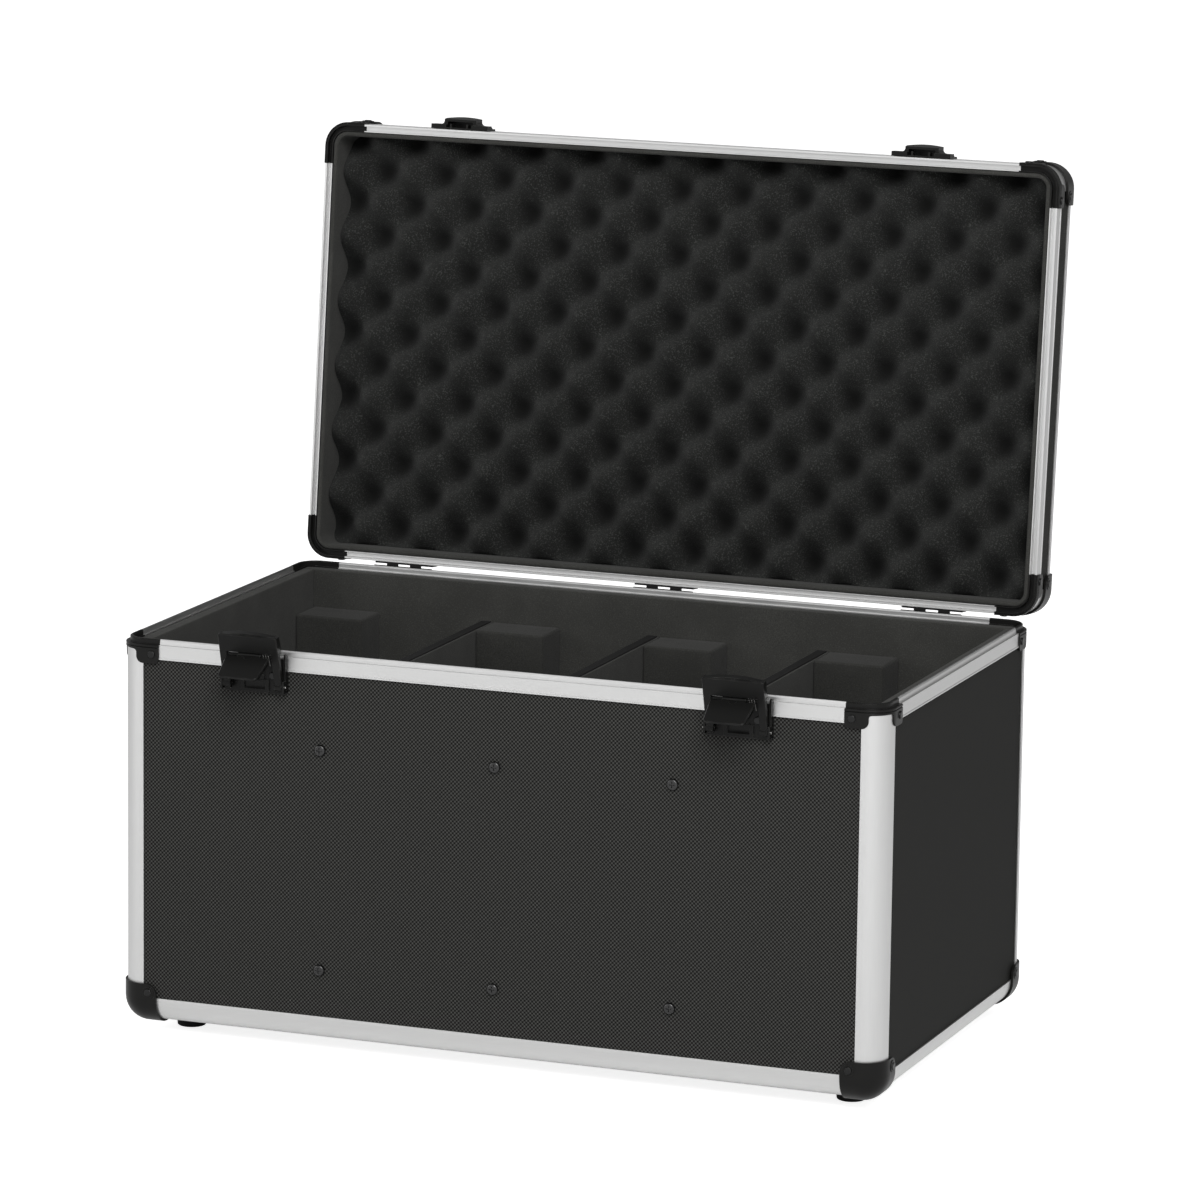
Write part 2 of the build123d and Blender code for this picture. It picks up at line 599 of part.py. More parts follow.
def latch_base(x):
    """The fixed base: a plate up to the seam, two ears for the lower pins and a scooped finger block."""
    def at(x0, x1, w0, w1, z0, z1):
        return block(x + x0, x + x1, -HALF_D - w1, -HALF_D - w0, SEAM_Z + z0, SEAM_Z + z1)
    plate = at(-EAR_OUT, EAR_OUT, -PANEL_OUT, 1.8, -30.0, -12.2)
    plate = fillet(plate.edges().filter_by(Axis.Y).sort_by(Axis.Z)[:2], 2.0)
    plate += at(-24.4, 24.4, 0.5, 1.8, -12.4, -1.9) + at(-8.4, 11.4, 0.5, 1.8, -2.0, 0.0)
    plate += at(-3.4, 3.4, 1.7, 3.0, -9.6, -4.6)
    for side in (-1, 1):
        x0, x1 = sorted((side * EAR_IN, side * EAR_OUT))
        ear = at(x0, x1, 0.7, 5.0, -16.0, 2.5)
        ear = fillet(ear.edges().filter_by(Axis.X).sort_by(Axis.Z)[-2:], 1.6)
        plate += ear + at(x0, x1, -1.0, 8.4, -28.0, -18.5)
        plate += at(x0, x1, -1.0, 5.0, -20.0, -12.2)
    scoop = at(-12.0, 12.0, 1.0, 3.2, -29.4, -19.0) + at(-8.0, 8.0, 1.0, 2.9, -19.5, -13.2)
    scoop -= Pos(x, -HALF_D - 6.6, SEAM_Z - 23.5) * cross_pin(4.8, 18.0)
    plate += scoop
    plate -= Pos(x, -HALF_D - LATCH_PIN[0], SEAM_Z + LATCH_PIN[1]) * cross_pin(FRAME_PIN_R, 80)
    for place, way in latch_rivet_places(x):
        plate -= hole(place, way)
    return plate


def frame_pins(x):
    """The two short pins that the frame's legs turn on."""
    long = EAR_OUT + 0.8 - WINDOW_W / 2 - 0.1
    return [latch_place(x) * Pos(sx * (EAR_OUT + 0.8 - long / 2), 0, 0) * cross_pin(FRAME_PIN_R, long)
            for sx in (-1, 1)]


def keeper(x):
    """The keeper on the lid: a stepped plate with an arched hump. Its pocket is open towards the seam."""
    def at(x0, x1, w0, w1, z0, z1):
        return block(x + x0, x + x1, -HALF_D - w1, -HALF_D - w0, SEAM_Z + z0, SEAM_Z + z1)

    def slab(points, half):
        flat = make_face(Polyline(*[(-w, z) for w, z in points], close=True))
        face = Plane(origin=(x - half, -HALF_D, SEAM_Z), x_dir=(0, 1, 0), z_dir=(1, 0, 0)).location
        return face * extrude(flat, 2 * half)
    plate = at(-25.1, 25.1, 0.4, 4.3, 1.5, 14.0)
    plate = fillet(plate.edges().filter_by(Axis.Y), 1.5)
    back = at(-25.1, 25.1, -PANEL_OUT, 2.0, 12.2, 22.6)
    plate += fillet(back.edges().filter_by(Axis.Y).sort_by(Axis.Z)[-2:], 2.0)
    half, foot = 14.2, 17.2
    line = [Polyline((half, 9.4), (half, 7.3)), ThreePointArc((half, 7.3), (half + 0.88, 5.18), (foot, 4.3)),
            Polyline((foot, 4.3), (foot, 1.8), (-foot, 1.8), (-foot, 4.3)),
            ThreePointArc((-foot, 4.3), (-half - 0.88, 5.18), (-half, 7.3)), Line((-half, 7.3), (-half, 9.4)),
            ThreePointArc((-half, 9.4), (0, 10.6), (half, 9.4))]
    stand = Plane(origin=(x, -HALF_D, SEAM_Z + 18.2), x_dir=(1, 0, 0), z_dir=(0, 0, -1)).location
    hump = stand * extrude(make_face(Curve() + line), 13.2)
    plate += hump & slab([(1.8, 5.0), (8.6, 5.0), (10.7, 16.8), (9.2, 18.2), (1.8, 18.2)], 20.0)
    plate -= slab([(1.6, 4.9), (6.6, 4.9), (8.3, 15.5), (1.6, 15.5)], 11.5)
    plate -= at(-11.5, 11.5, 1.6, 8.0, 0.0, 5.0)
    for side in (-1, 1):
        x0, x1 = sorted((side * 6.6, side * 8.0))
        plate += at(x0, x1, 1.5, 4.8, 1.8, 8.0)
    for place, way in keeper_rivet_places(x):
        plate -= hole(place, way)
    return plate


def lid_panels():
    """The lid's top and its four low walls, drilled for what is fixed to them."""
    top_z = SEAM_Z + LID_H
    span_x, span_y = HALF_W - PANEL_EDGE, HALF_D - PANEL_EDGE
    low, high = SEAM_Z + GROOVE_H + 1.5, top_z - PANEL_EDGE
    front = block(-span_x, span_x, -HALF_D + PANEL_OUT, -HALF_D + PANEL_IN, low, high)
    left = block(-HALF_W + PANEL_OUT, -HALF_W + PANEL_IN, -span_y, span_y, low, high)
    turn = Rot(0, 0, 180)
    walls = {"front_panel": front, "back_panel": turn * front}
    walls.update({"left_panel": left, "right_panel": turn * left})
    walls["bottom_panel"] = block(-span_x, span_x, -span_y, span_y, top_z - PANEL_IN, top_z - PANEL_OUT)
    for sx, sy in CORNERS:
        for at, way in ball_rivets(sx, sy, top_z, 1) + rim_rivets(1, sx, sy):
            walls[panel_behind(way)] -= hole(at, way)
    for x in LATCHES_X:
        for at, way in keeper_rivet_places(x):
            walls["front_panel"] -= hole(at, way)
    for x in HINGES_X:
        for at, way in hinge_rivet_places(x, 1):
            walls["back_panel"] -= hole(at, way)
    for at, way in handle_rivet_places():
        walls["bottom_panel"] -= hole(at, way)
    names = {"front_panel": "lid_front_wall", "back_panel": "lid_back_wall", "left_panel": "lid_left_wall",
             "right_panel": "lid_right_wall", "bottom_panel": "lid_top_panel"}
    return {names[name]: shape for name, shape in walls.items()}


def handle_rivet_places():
    """Where the handle's brackets are riveted to the lid's top."""
    z = SEAM_Z + LID_H - PANEL_OUT + 2.0
    return [((sx * (HANDLE_W / 2 - 8) + dx, HANDLE_PIVOT[0] + dy, z), (0, 0, 1))
            for sx in (-1, 1) for dx in (-10.0, 10.0) for dy in (-9.0,)]


def handle_brackets():
    """Two moulded brackets that hold the ends of the handle's pin."""
    z = SEAM_Z + LID_H - PANEL_OUT
    y = HANDLE_PIVOT[0]
    out = []
    for sx in (-1, 1):
        x = sx * (HANDLE_W / 2 - 8)
        plate = block(x - 16, x + 16, y - 15, y + 8, z, z + 2.0)
        plate = fillet(plate.edges().filter_by(Axis.Z), 4.0)
        for side in (-1, 1):
            mid = x + side * 8.5
            ear = block(mid - 1.5, mid + 1.5, y - 5, y + 5, z + 1, z + HANDLE_PIVOT[1] + 4.0)
            plate += fillet(ear.edges().filter_by(Axis.X).sort_by(Axis.Z)[-2:], 3.5)
        plate -= Pos(x, y, z + HANDLE_PIVOT[1]) * cross_pin(HANDLE_PIN_R, 40)
        for at, way in handle_rivet_places():
            plate -= hole(at, way)
        out.append(plate)
    return out


def handle_grip():
    """The bail: two arms and a rounded hand bar, drawn flat and then hanging away from the leaning lid."""
    half = HANDLE_W / 2
    bar = Pos(0, HANDLE_REACH, 0) * cross_pin(5.2, HANDLE_W - 6)
    for sx in (-1, 1):
        x = sx * (half - 8)
        arm = block(x - 6.5, x + 6.5, 0, HANDLE_REACH, -3.2, 3.2)
        bar += fillet(arm.edges().filter_by(Axis.Y), 2.0) + Pos(x, 0, 0) * cross_pin(4.6, 13.0)
        bar -= Pos(x, 0, 0) * cross_pin(HANDLE_PIN_R + RUN_GAP, 16)
    z = SEAM_Z + LID_H - PANEL_OUT + HANDLE_PIVOT[1]
    return Pos(0, HANDLE_PIVOT[0], z) * Rot(HANDLE_HANG, 0, 0) * bar


def handle_pins():
    z = SEAM_Z + LID_H - PANEL_OUT + HANDLE_PIVOT[1]
    pin = Pos(0, HANDLE_PIVOT[0], z) * cross_pin(HANDLE_PIN_R, 21.0)
    return [Pos(sx * (HANDLE_W / 2 - 8), 0, 0) * pin for sx in (-1, 1)]


def lid_liner():
    """A thin foam strip round the inside of the lid, curved at the corners."""
    ring = round_outline(LINER_OUT, LID_LINER_R)
    ring -= round_outline(LINER_OUT + LID_LINER, LID_LINER_R - LID_LINER)
    return Pos(0, 0, SEAM_Z + 0.6) * extrude(ring, LID_H - SKIN_IN - 0.7)


def bump():
    """One rounded foam peak, pointing down at the seam. Its base is on the foam's slab."""
    rise = BUMP_BASE - BUMP_TOP
    line = Polyline((0, 0), (17.6, 0), (14.6, 6.0))
    side = Spline((14.6, 6.0), (9.4, rise - 3.4), (0, rise), tangents=((-0.35, 1), (-1, 0)))
    flat = make_face(Curve() + [line, side, Line((0, rise), (0, 0))])
    spun = revolve(Plane.XZ.location * flat, Axis.Z)
    return Pos(0, 0, SEAM_Z + BUMP_BASE) * Rot(180, 0, 0) * spun


def egg_crate():
    """The lid's foam: a slab with staggered peaks, cut to the liner's inside."""
    inset = LINER_OUT + LID_LINER + 0.3
    edge = round_outline(inset, LID_LINER_R - LID_LINER - 0.3)
    back = SEAM_Z + LID_H - PANEL_IN
    step = SEAM_Z + LID_H - SKIN_IN - 0.1
    slab = Pos(0, 0, SEAM_Z + BUMP_BASE) * extrude(edge, step - SEAM_Z - BUMP_BASE)
    slab += Pos(0, 0, step - 0.5) * extrude(round_outline(LEG_END + 0.4, 4.0), back - step + 0.5)
    tails = handle_rivet_places() + [ball_rivets(sx, sy, SEAM_Z + LID_H, 1)[2] for sx, sy in CORNERS]
    for (x, y, z), way in tails:
        slab -= Pos(x, y, back) * Cylinder(TAIL_R + 0.4, 2.0)
    cutter = Pos(0, 0, SEAM_Z) * extrude(edge, LID_H)
    peak = bump()
    whole, cut = [], []
    for row in range(14):
        y = BUMP_AT[1] + (row - 1) * BUMP_Y / 2
        shift = BUMP_X / 2 if row % 2 == 0 else 0.0
        for col in range(-7, 8):
            x = BUMP_AT[0] + shift + col * BUMP_X
            room_x, room_y = HALF_W - inset - abs(x), HALF_D - inset - abs(y)
            if min(room_x, room_y) < -15.0:
                continue
            placed = Pos(x, y, 0) * peak
            inside = min(room_x, room_y) > 17.7
            (whole if inside else cut).append(placed)
    trimmed = [piece & cutter for piece in cut]
    trimmed = [solid for piece in trimmed for solid in piece.solids() if solid.volume > 40.0]
    return slab.fuse(*[piece.solid() for piece in whole], *trimmed)


def lid_fasteners():
    """Rivets of the lid's corners, keepers, hinge leaves and handle brackets."""
    top_z = SEAM_Z + LID_H
    out = []
    for sx, sy in CORNERS:
        out += [rivet(at, way, BALL_SKIN + PANEL_IN) for at, way in ball_rivets(sx, sy, top_z, 1)]
        out += [rivet(at, way, CAP_PROUD + PANEL_IN) for at, way in rim_rivets(1, sx, sy)]
    for x in LATCHES_X:
        out += [rivet(at, way, 2.0 + PANEL_IN) for at, way in keeper_rivet_places(x)]
    for x in HINGES_X:
        out += [rivet(at, way, PANEL_IN) for at, way in hinge_rivet_places(x, 1)]
    out += [rivet(at, way, 2.0 + PLY) for at, way in handle_rivet_places()]
    return out


def body_fasteners():
    """Rivets of the body's corners and hinge leaves."""
    out = []
    for sx, sy in CORNERS:
        out += [rivet(at, way, BALL_SKIN + PANEL_IN) for at, way in ball_rivets(sx, sy, BASE_Z, -1)]
        out += [rivet(at, way, CAP_PROUD + PANEL_IN) for at, way in rim_rivets(-1, sx, sy)]
    for x in HINGES_X:
        out += [rivet(at, way, PANEL_IN) for at, way in hinge_rivet_places(x, -1)]
    return out


def write_body():
    for name, shape in {**body_panels(), **liners()}.items():
        save(name, shape)
    save("corner_profiles", group(bars_upright(BASE_Z + BAR_END, SEAM_Z - CAP_H - 0.2)))
    save("bottom_edge_profiles", group([Pos(0, 0, BASE_Z) * bar for bar in bars_level()]))
    for side, bar in rims(tongue_section()).items():
        save(f"{side}_rim_profile", bar)
    save("bottom_ball_corners", group(ball_corners(BASE_Z, -1)))
    save("body_rim_corners", group(rim_corners(-1)))
    boards, facings = dividers()
    for number, board in enumerate(boards, 1):
        save(f"divider_{number}", board)
    save("divider_facings", group(facings))
    save("foam_blocks", group(foam_blocks()))
    soles, screws = feet()
    save("rubber_feet", group(soles))
    save("foot_screws", group(screws))
    save("body_rivets", group(body_fasteners()))
    save("divider_screws", group([screw(at, way, PLY + LINER + 16.0) for at, way in divider_screw_places()]))
    save("hinge_body_leaves", group([hinge_leaf(x, -1, (0, 2, 4)) for x in HINGES_X]))
    save("hinge_pins", group([hinge_pin(x) for x in HINGES_X]))


def write_lid():
    top_z = SEAM_Z + LID_H
    for name, shape in lid_panels().items():
        save(name, opened(shape))
    edges = [Pos(0, 0, top_z) * Rot(180, 0, 0) * bar for bar in bars_level()]
    save("lid_edge_profiles", opened(group(edges)))
    save("lid_corner_profiles", opened(group(bars_upright(SEAM_Z + 7.0, top_z - BAR_END))))
    save("lid_rim_profiles", opened(group(rims(groove_section()).values())))
    save("lid_ball_corners", opened(group(ball_corners(top_z, 1))))
    save("lid_rim_corners", opened(group(rim_corners(1))))
    save("lid_rivets", opened(group(lid_fasteners())))
    save("lid_liner_strip", opened(lid_liner()))
    save("lid_egg_crate_foam", opened(egg_crate()))
    save("latch_keepers", opened(group([keeper(x) for x in LATCHES_X])))
    save("hinge_lid_leaves", opened(group([hinge_leaf(x, 1, (1, 3)) for x in HINGES_X])))
    save("handle_brackets", opened(group(handle_brackets() + handle_pins())))
    save("handle_grip", opened(handle_grip()))


def write_latches():
    rivets, pins = [], []
    for side, x in zip(("left", "right"), LATCHES_X):
        save(f"{side}_latch_base", latch_base(x))
        save(f"{side}_latch_frame", frame_place(x) * latch_frame())
        save(f"{side}_latch_lever", lever_place(x) * latch_lever())
        pivot = frame_place(x) * Pos(0, -LEVER_AT[0], LEVER_AT[1])
        save(f"{side}_lever_pin", pivot * cross_pin(LEVER_PIN_R, FRAME_W))
        save(f"{side}_lever_spring", lever_place(x) * lever_spring())
        rivets += [rivet(at, way, 1.8 + PANEL_IN) for at, way in latch_rivet_places(x)]
        pins += frame_pins(x)
    save("latch_base_rivets", group(rivets))
    save("latch_frame_pins", group(pins))


os.makedirs("parts", exist_ok=True)
write_body()
write_lid()
write_latches()
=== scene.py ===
"""The looks of a lighting flight case: its foams, the finish of every part, and a plain studio.

Lengths are in metres. A piece of the lid is worked out on the shut lid, and is then swung open
about the hinge.
"""
import json
import math

import bpy
import numpy as np
from bpy.props import FloatProperty, FloatVectorProperty, PointerProperty
from mathutils import Matrix, Vector


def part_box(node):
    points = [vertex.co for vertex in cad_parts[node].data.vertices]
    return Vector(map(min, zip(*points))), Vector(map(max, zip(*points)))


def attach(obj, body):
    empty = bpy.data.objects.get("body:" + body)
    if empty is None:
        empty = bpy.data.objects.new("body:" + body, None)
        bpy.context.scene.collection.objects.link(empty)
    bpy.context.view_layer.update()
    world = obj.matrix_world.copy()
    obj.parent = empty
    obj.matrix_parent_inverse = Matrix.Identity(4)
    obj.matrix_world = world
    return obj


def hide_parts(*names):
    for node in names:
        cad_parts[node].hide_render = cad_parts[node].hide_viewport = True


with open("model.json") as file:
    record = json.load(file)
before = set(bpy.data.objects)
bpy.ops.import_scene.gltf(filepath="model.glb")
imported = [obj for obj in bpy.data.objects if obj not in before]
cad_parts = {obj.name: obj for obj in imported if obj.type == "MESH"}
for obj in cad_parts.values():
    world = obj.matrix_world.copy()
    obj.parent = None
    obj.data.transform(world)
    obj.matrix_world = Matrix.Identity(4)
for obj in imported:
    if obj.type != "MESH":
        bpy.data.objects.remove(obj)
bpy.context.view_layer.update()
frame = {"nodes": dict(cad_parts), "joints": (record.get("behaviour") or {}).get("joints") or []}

bl_info = {
    "name": "Lighting flight case",
    "version": (1, 0, 0),
    "blender": (4, 5, 0),
    "location": "3D View > Sidebar > Flight case",
    "description": "Makes the foams, finishes and studio of a lighting flight case",
    "category": "Object",
}

HINGE = next(joint for joint in frame["joints"] if joint["name"] == "lid_hinge")
HINGE_Y, SEAM_Z = HINGE["pos_m"][1:]
LID_OPEN = math.radians(HINGE["range_deg"][1])
HALF_W, HALF_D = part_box("corner_profiles")[1][:2]
LINER_OUT = HALF_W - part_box("front_wall_liner")[1][0]
FACING_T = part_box("divider_1")[0][0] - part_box("divider_facings")[0][0]
FACING_EDGE = 0.0006
LID_FOAM_GAP = 0.0003
STRIP_FRONT = 0.0006
END_BARS_FROM = HALF_W - 0.026  # past this x the bars run from front to back
FLOOR_HALF = 25.0
LIGHT_TARGET = (0, 0, 0.3)
DIVIDERS = ("divider_1", "divider_2", "divider_3")
WALLS = ("front", "back", "left", "right")
SIDES = ("left", "right")
ALONG_X, ALONG_Y, ALONG_Z = (1, 0, 0), (0, 1, 0), (0, 0, 1)


class FoamSizes(bpy.types.PropertyGroup):
    """Sizes and colours of the foam pieces."""

    bump_pitch_x: FloatProperty(
        name="Bump pitch across", description="Distance between two peaks in a row",
        default=0.0528, unit="LENGTH", subtype="DISTANCE")
    bump_pitch_y: FloatProperty(
        name="Bump pitch in depth", description="Distance between every second row of peaks",
        default=0.0544, unit="LENGTH", subtype="DISTANCE")
    bump_start: FloatVectorProperty(
        name="First peak", description="Where one peak stands in plan", size=2,
        default=(0.0148, -0.142), unit="LENGTH", subtype="XYZ_LENGTH")
    peak_drop: FloatProperty(
        name="Peak depth", description="How far the peaks stay behind the seam",
        default=0.0100, unit="LENGTH", subtype="DISTANCE")
    valley_drop: FloatProperty(
        name="Valley depth", description="How far the valleys go behind the seam",
        default=0.0385, unit="LENGTH", subtype="DISTANCE")
    slab_back: FloatProperty(
        name="Foam back", description="Where the lid foam meets the lid's top panel",
        default=0.0487, unit="LENGTH", subtype="DISTANCE")
    rebate: FloatProperty(
        name="Rebate",
        description="Depth of the step in the lid foam's back, over the extrusions' legs",
        default=0.0011, unit="LENGTH", subtype="DISTANCE")
    rebate_reach: FloatProperty(
        name="Rebate reach", description="How far in from the lid's faces that step reaches",
        default=0.0255, unit="LENGTH", subtype="DISTANCE")
    corner_radius: FloatProperty(
        name="Lid corner radius", description="Outer radius of the lid's foam strip at its corners",
        default=0.0125, unit="LENGTH", subtype="DISTANCE")
    strip_thickness: FloatProperty(
        name="Strip thickness", description="Thickness of the strip round the inside of the lid",
        default=0.004, unit="LENGTH", subtype="DISTANCE")
    grid_step: FloatProperty(
        name="Grid step", description="Distance between two grid lines of the lid foam",
        default=0.003, unit="LENGTH", subtype="DISTANCE")
    edge_radius: FloatProperty(
        name="Cut edge radius", description="How round the cut edges of the foam sheets are",
        default=0.0012, unit="LENGTH", subtype="DISTANCE")
    block_width: FloatProperty(
        name="Block width", description="Width of one upright foam block",
        default=0.060, unit="LENGTH", subtype="DISTANCE")
    block_gap: FloatProperty(
        name="Block gap", description="Gap between a block and the facing beside it",
        default=0.0003, unit="LENGTH", subtype="DISTANCE")
    acoustic_colour: FloatVectorProperty(
        name="Bumpy foam", description="Colour of the lid's bumpy foam", size=3,
        default=(0.0150, 0.0156, 0.0147), min=0, max=1, subtype="COLOR")
    liner_colour: FloatVectorProperty(
        name="Liner foam", description="Colour of the flat foam sheets", size=3,
        default=(0.042, 0.042, 0.039), min=0, max=1, subtype="COLOR")


class CaseFinish(bpy.types.PropertyGroup):
    """Colours and pattern sizes of the rigid parts."""

    laminate_colour: FloatVectorProperty(
        name="Laminate", description="Colour of the embossed laminate", size=3,
        default=(0.020, 0.020, 0.019), min=0, max=1, subtype="COLOR")
    emboss_pitch: FloatProperty(
        name="Emboss pitch", description="Distance between two diagonal rows of the embossing",
        default=0.00224, unit="LENGTH", subtype="DISTANCE")
    emboss_height: FloatProperty(
        name="Emboss height", description="Height of the embossed points",
        default=0.00012, unit="LENGTH", subtype="DISTANCE")
    aluminium_colour: FloatVectorProperty(
        name="Aluminium", description="Colour of the anodised extrusions", size=3,
        default=(0.63, 0.63, 0.627), min=0, max=1, subtype="COLOR")
    moulding_colour: FloatVectorProperty(
        name="Moulded corners", description="Colour of the black moulded corners", size=3,
        default=(0.0085, 0.0084, 0.0080), min=0, max=1, subtype="COLOR")
    latch_colour: FloatVectorProperty(
        name="Latches", description="Colour of the blackened latches", size=3,
        default=(0.0070, 0.0070, 0.0067), min=0, max=1, subtype="COLOR")
    steel_colour: FloatVectorProperty(
        name="Bare steel", description="Colour of pins and springs", size=3,
        default=(0.45, 0.445, 0.43), min=0, max=1, subtype="COLOR")
    rivet_colour: FloatVectorProperty(
        name="Rivets", description="Colour of the darkened rivets and screws", size=3,
        default=(0.03, 0.03, 0.03), min=0, max=1, subtype="COLOR")
    rubber_colour: FloatVectorProperty(
        name="Rubber", description="Colour of the feet", size=3,
        default=(0.012, 0.012, 0.012), min=0, max=1, subtype="COLOR")


class Studio(bpy.types.PropertyGroup):
    """Where the camera stands, and how bright the studio is."""

    azimuth: FloatProperty(
        name="Azimuth", description="How far the camera stands round to the right",
        default=math.radians(20.93), unit="ROTATION", subtype="ANGLE")
    elevation: FloatProperty(
        name="Elevation", description="How far the camera looks down",
        default=math.radians(11.12), unit="ROTATION", subtype="ANGLE")
    roll: FloatProperty(
        name="Roll", description="How far the camera is tipped to one side",
        default=math.radians(0.72), unit="ROTATION", subtype="ANGLE")
    distance: FloatProperty(
        name="Distance", description="From the camera to the plane of its target",
        default=5.2864, unit="LENGTH", subtype="DISTANCE")
    target_height: FloatProperty(
        name="Target height", description="Height of the point that the distance is taken from",
        default=0.204, unit="LENGTH", subtype="DISTANCE")
    slide: FloatVectorProperty(
        name="Slide", description="How far the camera is moved to the right and up", size=2,
        default=(0.0172, 0.1407), unit="LENGTH", subtype="XYZ_LENGTH")
    lens: FloatProperty(
        name="Lens", description="Focal length in millimetres", default=197.66)
    key_power: FloatProperty(
        name="Key light", description="Power of the large light in front", default=150.0)
    fill_power: FloatProperty(
        name="Fill light", description="Power of the light on the left", default=20.0)
    world_level: FloatProperty(
        name="Ambient level", description="Strength of the light from all round", default=0.36)
    zenith_level: FloatProperty(
        name="Zenith level", description="How bright the background overhead is in metal",
        default=0.30)
    back_level: FloatProperty(
        name="Back level", description="How bright the background behind is in metal", default=0.25)
    floor_lift: FloatProperty(
        name="Floor lift", description="Light added to the floor where the camera sees it",
        default=0.85)


class CaseOperator:
    """What all the operators of the flight case share."""

    bl_options = {"REGISTER", "UNDO"}

    def execute(self, context):
        self.make(context.scene)
        return {"FINISHED"}


def swing_open(points):
    """Turns points of the shut lid about the hinge line to where they are on the open lid."""
    turn = -LID_OPEN
    y, z = points[..., 1] - HINGE_Y, points[..., 2] - SEAM_Z
    turned = points.copy()
    turned[..., 1] = HINGE_Y + math.cos(turn) * y - math.sin(turn) * z
    turned[..., 2] = SEAM_Z + math.sin(turn) * y + math.cos(turn) * z
    return turned


def on_open_lid(direction):
    """A direction on the shut lid, turned as the open lid is."""
    return Matrix.Rotation(-LID_OPEN, 3, "X") @ Vector(direction)


def grid_quads(rows, columns, closed=False):
    """Corner numbers of the quads between the points of a grid, whose rows may close into rings."""
    numbers = np.arange(rows * columns).reshape(rows, columns)
    if closed:
        numbers = np.vstack([numbers, numbers[:1]])
        numbers = np.hstack([numbers, numbers[:, :1]])
    quads = (numbers[:-1, :-1], numbers[1:, :-1], numbers[1:, 1:], numbers[:-1, 1:])
    return np.stack(quads, axis=-1).reshape(-1, 4)


def joined(meshes):
    """Several meshes of quads, each with its points and faces, as one."""
    points, faces, start = [], [], 0
    for mesh_points, mesh_faces in meshes:
        points.append(mesh_points)
        faces.append(mesh_faces + start)
        start += len(mesh_points)
    return np.concatenate(points), np.concatenate(faces)


def closed_slab(front, back):
    """Two like grids of points, joined round their edges into a closed shell."""
    rows, columns = front.shape[:2]
    count = rows * columns
    faces = grid_quads(rows, columns)
    numbers = np.arange(count).reshape(rows, columns)
    ring = np.concatenate(
        [numbers[0, :-1], numbers[:-1, -1], numbers[-1, :0:-1], numbers[:0:-1, 0]])
    ahead = np.roll(ring, -1)
    sides = np.stack([ring, ahead, ahead + count, ring + count], axis=-1)
    faces = np.vstack([faces, faces[:, ::-1] + count, sides])
    return np.concatenate([front.reshape(-1, 3), back.reshape(-1, 3)]), faces


def volume(points, faces):
    """Signed volume of a closed shell of quads: above zero where its faces point outwards."""
    a, b, c, d = (points[faces[:, k]] for k in range(4))
    return (np.einsum("ij,ij", a, np.cross(b, c)) + np.einsum("ij,ij", a, np.cross(c, d))) / 6


def make_piece(name, points, faces, body, sharp=50):
    """A smooth-shaded object of quads with its faces outwards, riding on a body."""
    if volume(points, faces) < 0:
        faces = faces[:, ::-1]
    mesh = bpy.data.meshes.new(name)
    mesh.vertices.add(len(points))
    mesh.vertices.foreach_set("co", points.astype(np.float32).ravel())
    mesh.loops.add(faces.size)
    mesh.loops.foreach_set("vertex_index", faces.astype(np.int32).ravel())
    mesh.polygons.add(len(faces))
    mesh.polygons.foreach_set("loop_start", np.arange(0, faces.size, 4, dtype=np.int32))
    mesh.update(calc_edges=True)
    if mesh.validate():
        raise RuntimeError(f"{name} has faces that don't hold together")
    mesh.shade_smooth()
    mesh.set_sharp_from_angle(angle=math.radians(sharp))
    piece = bpy.data.objects.new(name, mesh)
    bpy.context.scene.collection.objects.link(piece)
    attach(piece, body)
    return piece


def make_foam(name, points, faces, body, material, stands_for, fill, sharp=50):
    """A foam piece that takes the place of the plain solids it stands for."""
    piece = make_piece(name, points, faces, body, sharp)
    piece.data.materials.append(material)
    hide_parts(*stands_for)
    return piece


def edge_ticks(low, high, radius, step):
    """Places along one edge of a sheet: close over the rounded ends, and evenly between."""
    bend = radius * np.array([0.0, 0.25, 0.5, 0.75])
    count = max(2, int(round((high - low - 2 * radius) / step)))
    middle = np.linspace(low + radius, high - radius, count + 1)
    return np.concatenate([low + bend, middle, (high - bend)[::-1]])


def rounded_sheet(low, high, radius, step, sag=0.0):
    """A cut foam sheet between two corners, as six grids that meet along its edges.

    Each point p of the plain box is moved to a distance from the nearest point of the box that is
    smaller by the radius. That distance is the radius, less sag times a slow wave between 0 and 1,
    which is 0.5 + 0.5 sin(a . p + 0.7) sin(b . p + 1.9).
    """
    low, high = np.array(low), np.array(high)
    ticks = [edge_ticks(low[k], high[k], radius, step) for k in range(3)]
    sides = []
    for axis in range(3):
        u, v = [k for k in range(3) if k != axis]
        for end, level in enumerate((low[axis], high[axis])):
            grid = np.empty((len(ticks[u]), len(ticks[v]), 3))
            grid[..., u] = ticks[u][:, None]
            grid[..., v] = ticks[v][None, :]
            grid[..., axis] = level
            quads = grid_quads(len(ticks[u]), len(ticks[v]))
            if (axis == 1) != (end == 0):
                quads = quads[:, ::-1]
            sides.append((grid.reshape(-1, 3), quads))
    points, faces = joined(sides)
    core = np.clip(points, low + radius, high - radius)
    away = points - core
    outward = away / np.linalg.norm(away, axis=1, keepdims=True)
    wave = np.sin(points @ [31.0, 27.0, 19.0] + 0.7) * np.sin(points @ [17.0, 23.0, 41.0] + 1.9)
    points = core + outward * (radius - sag * (0.5 + 0.5 * wave))[:, None]
    return weld(points, faces)


def weld(points, faces):
    """Joins points that lie in the same place, to a tenth of a micrometre."""
    _, first, number = np.unique(
        np.round(points, 7), axis=0, return_index=True, return_inverse=True)
    return points[first], number.reshape(-1)[faces]


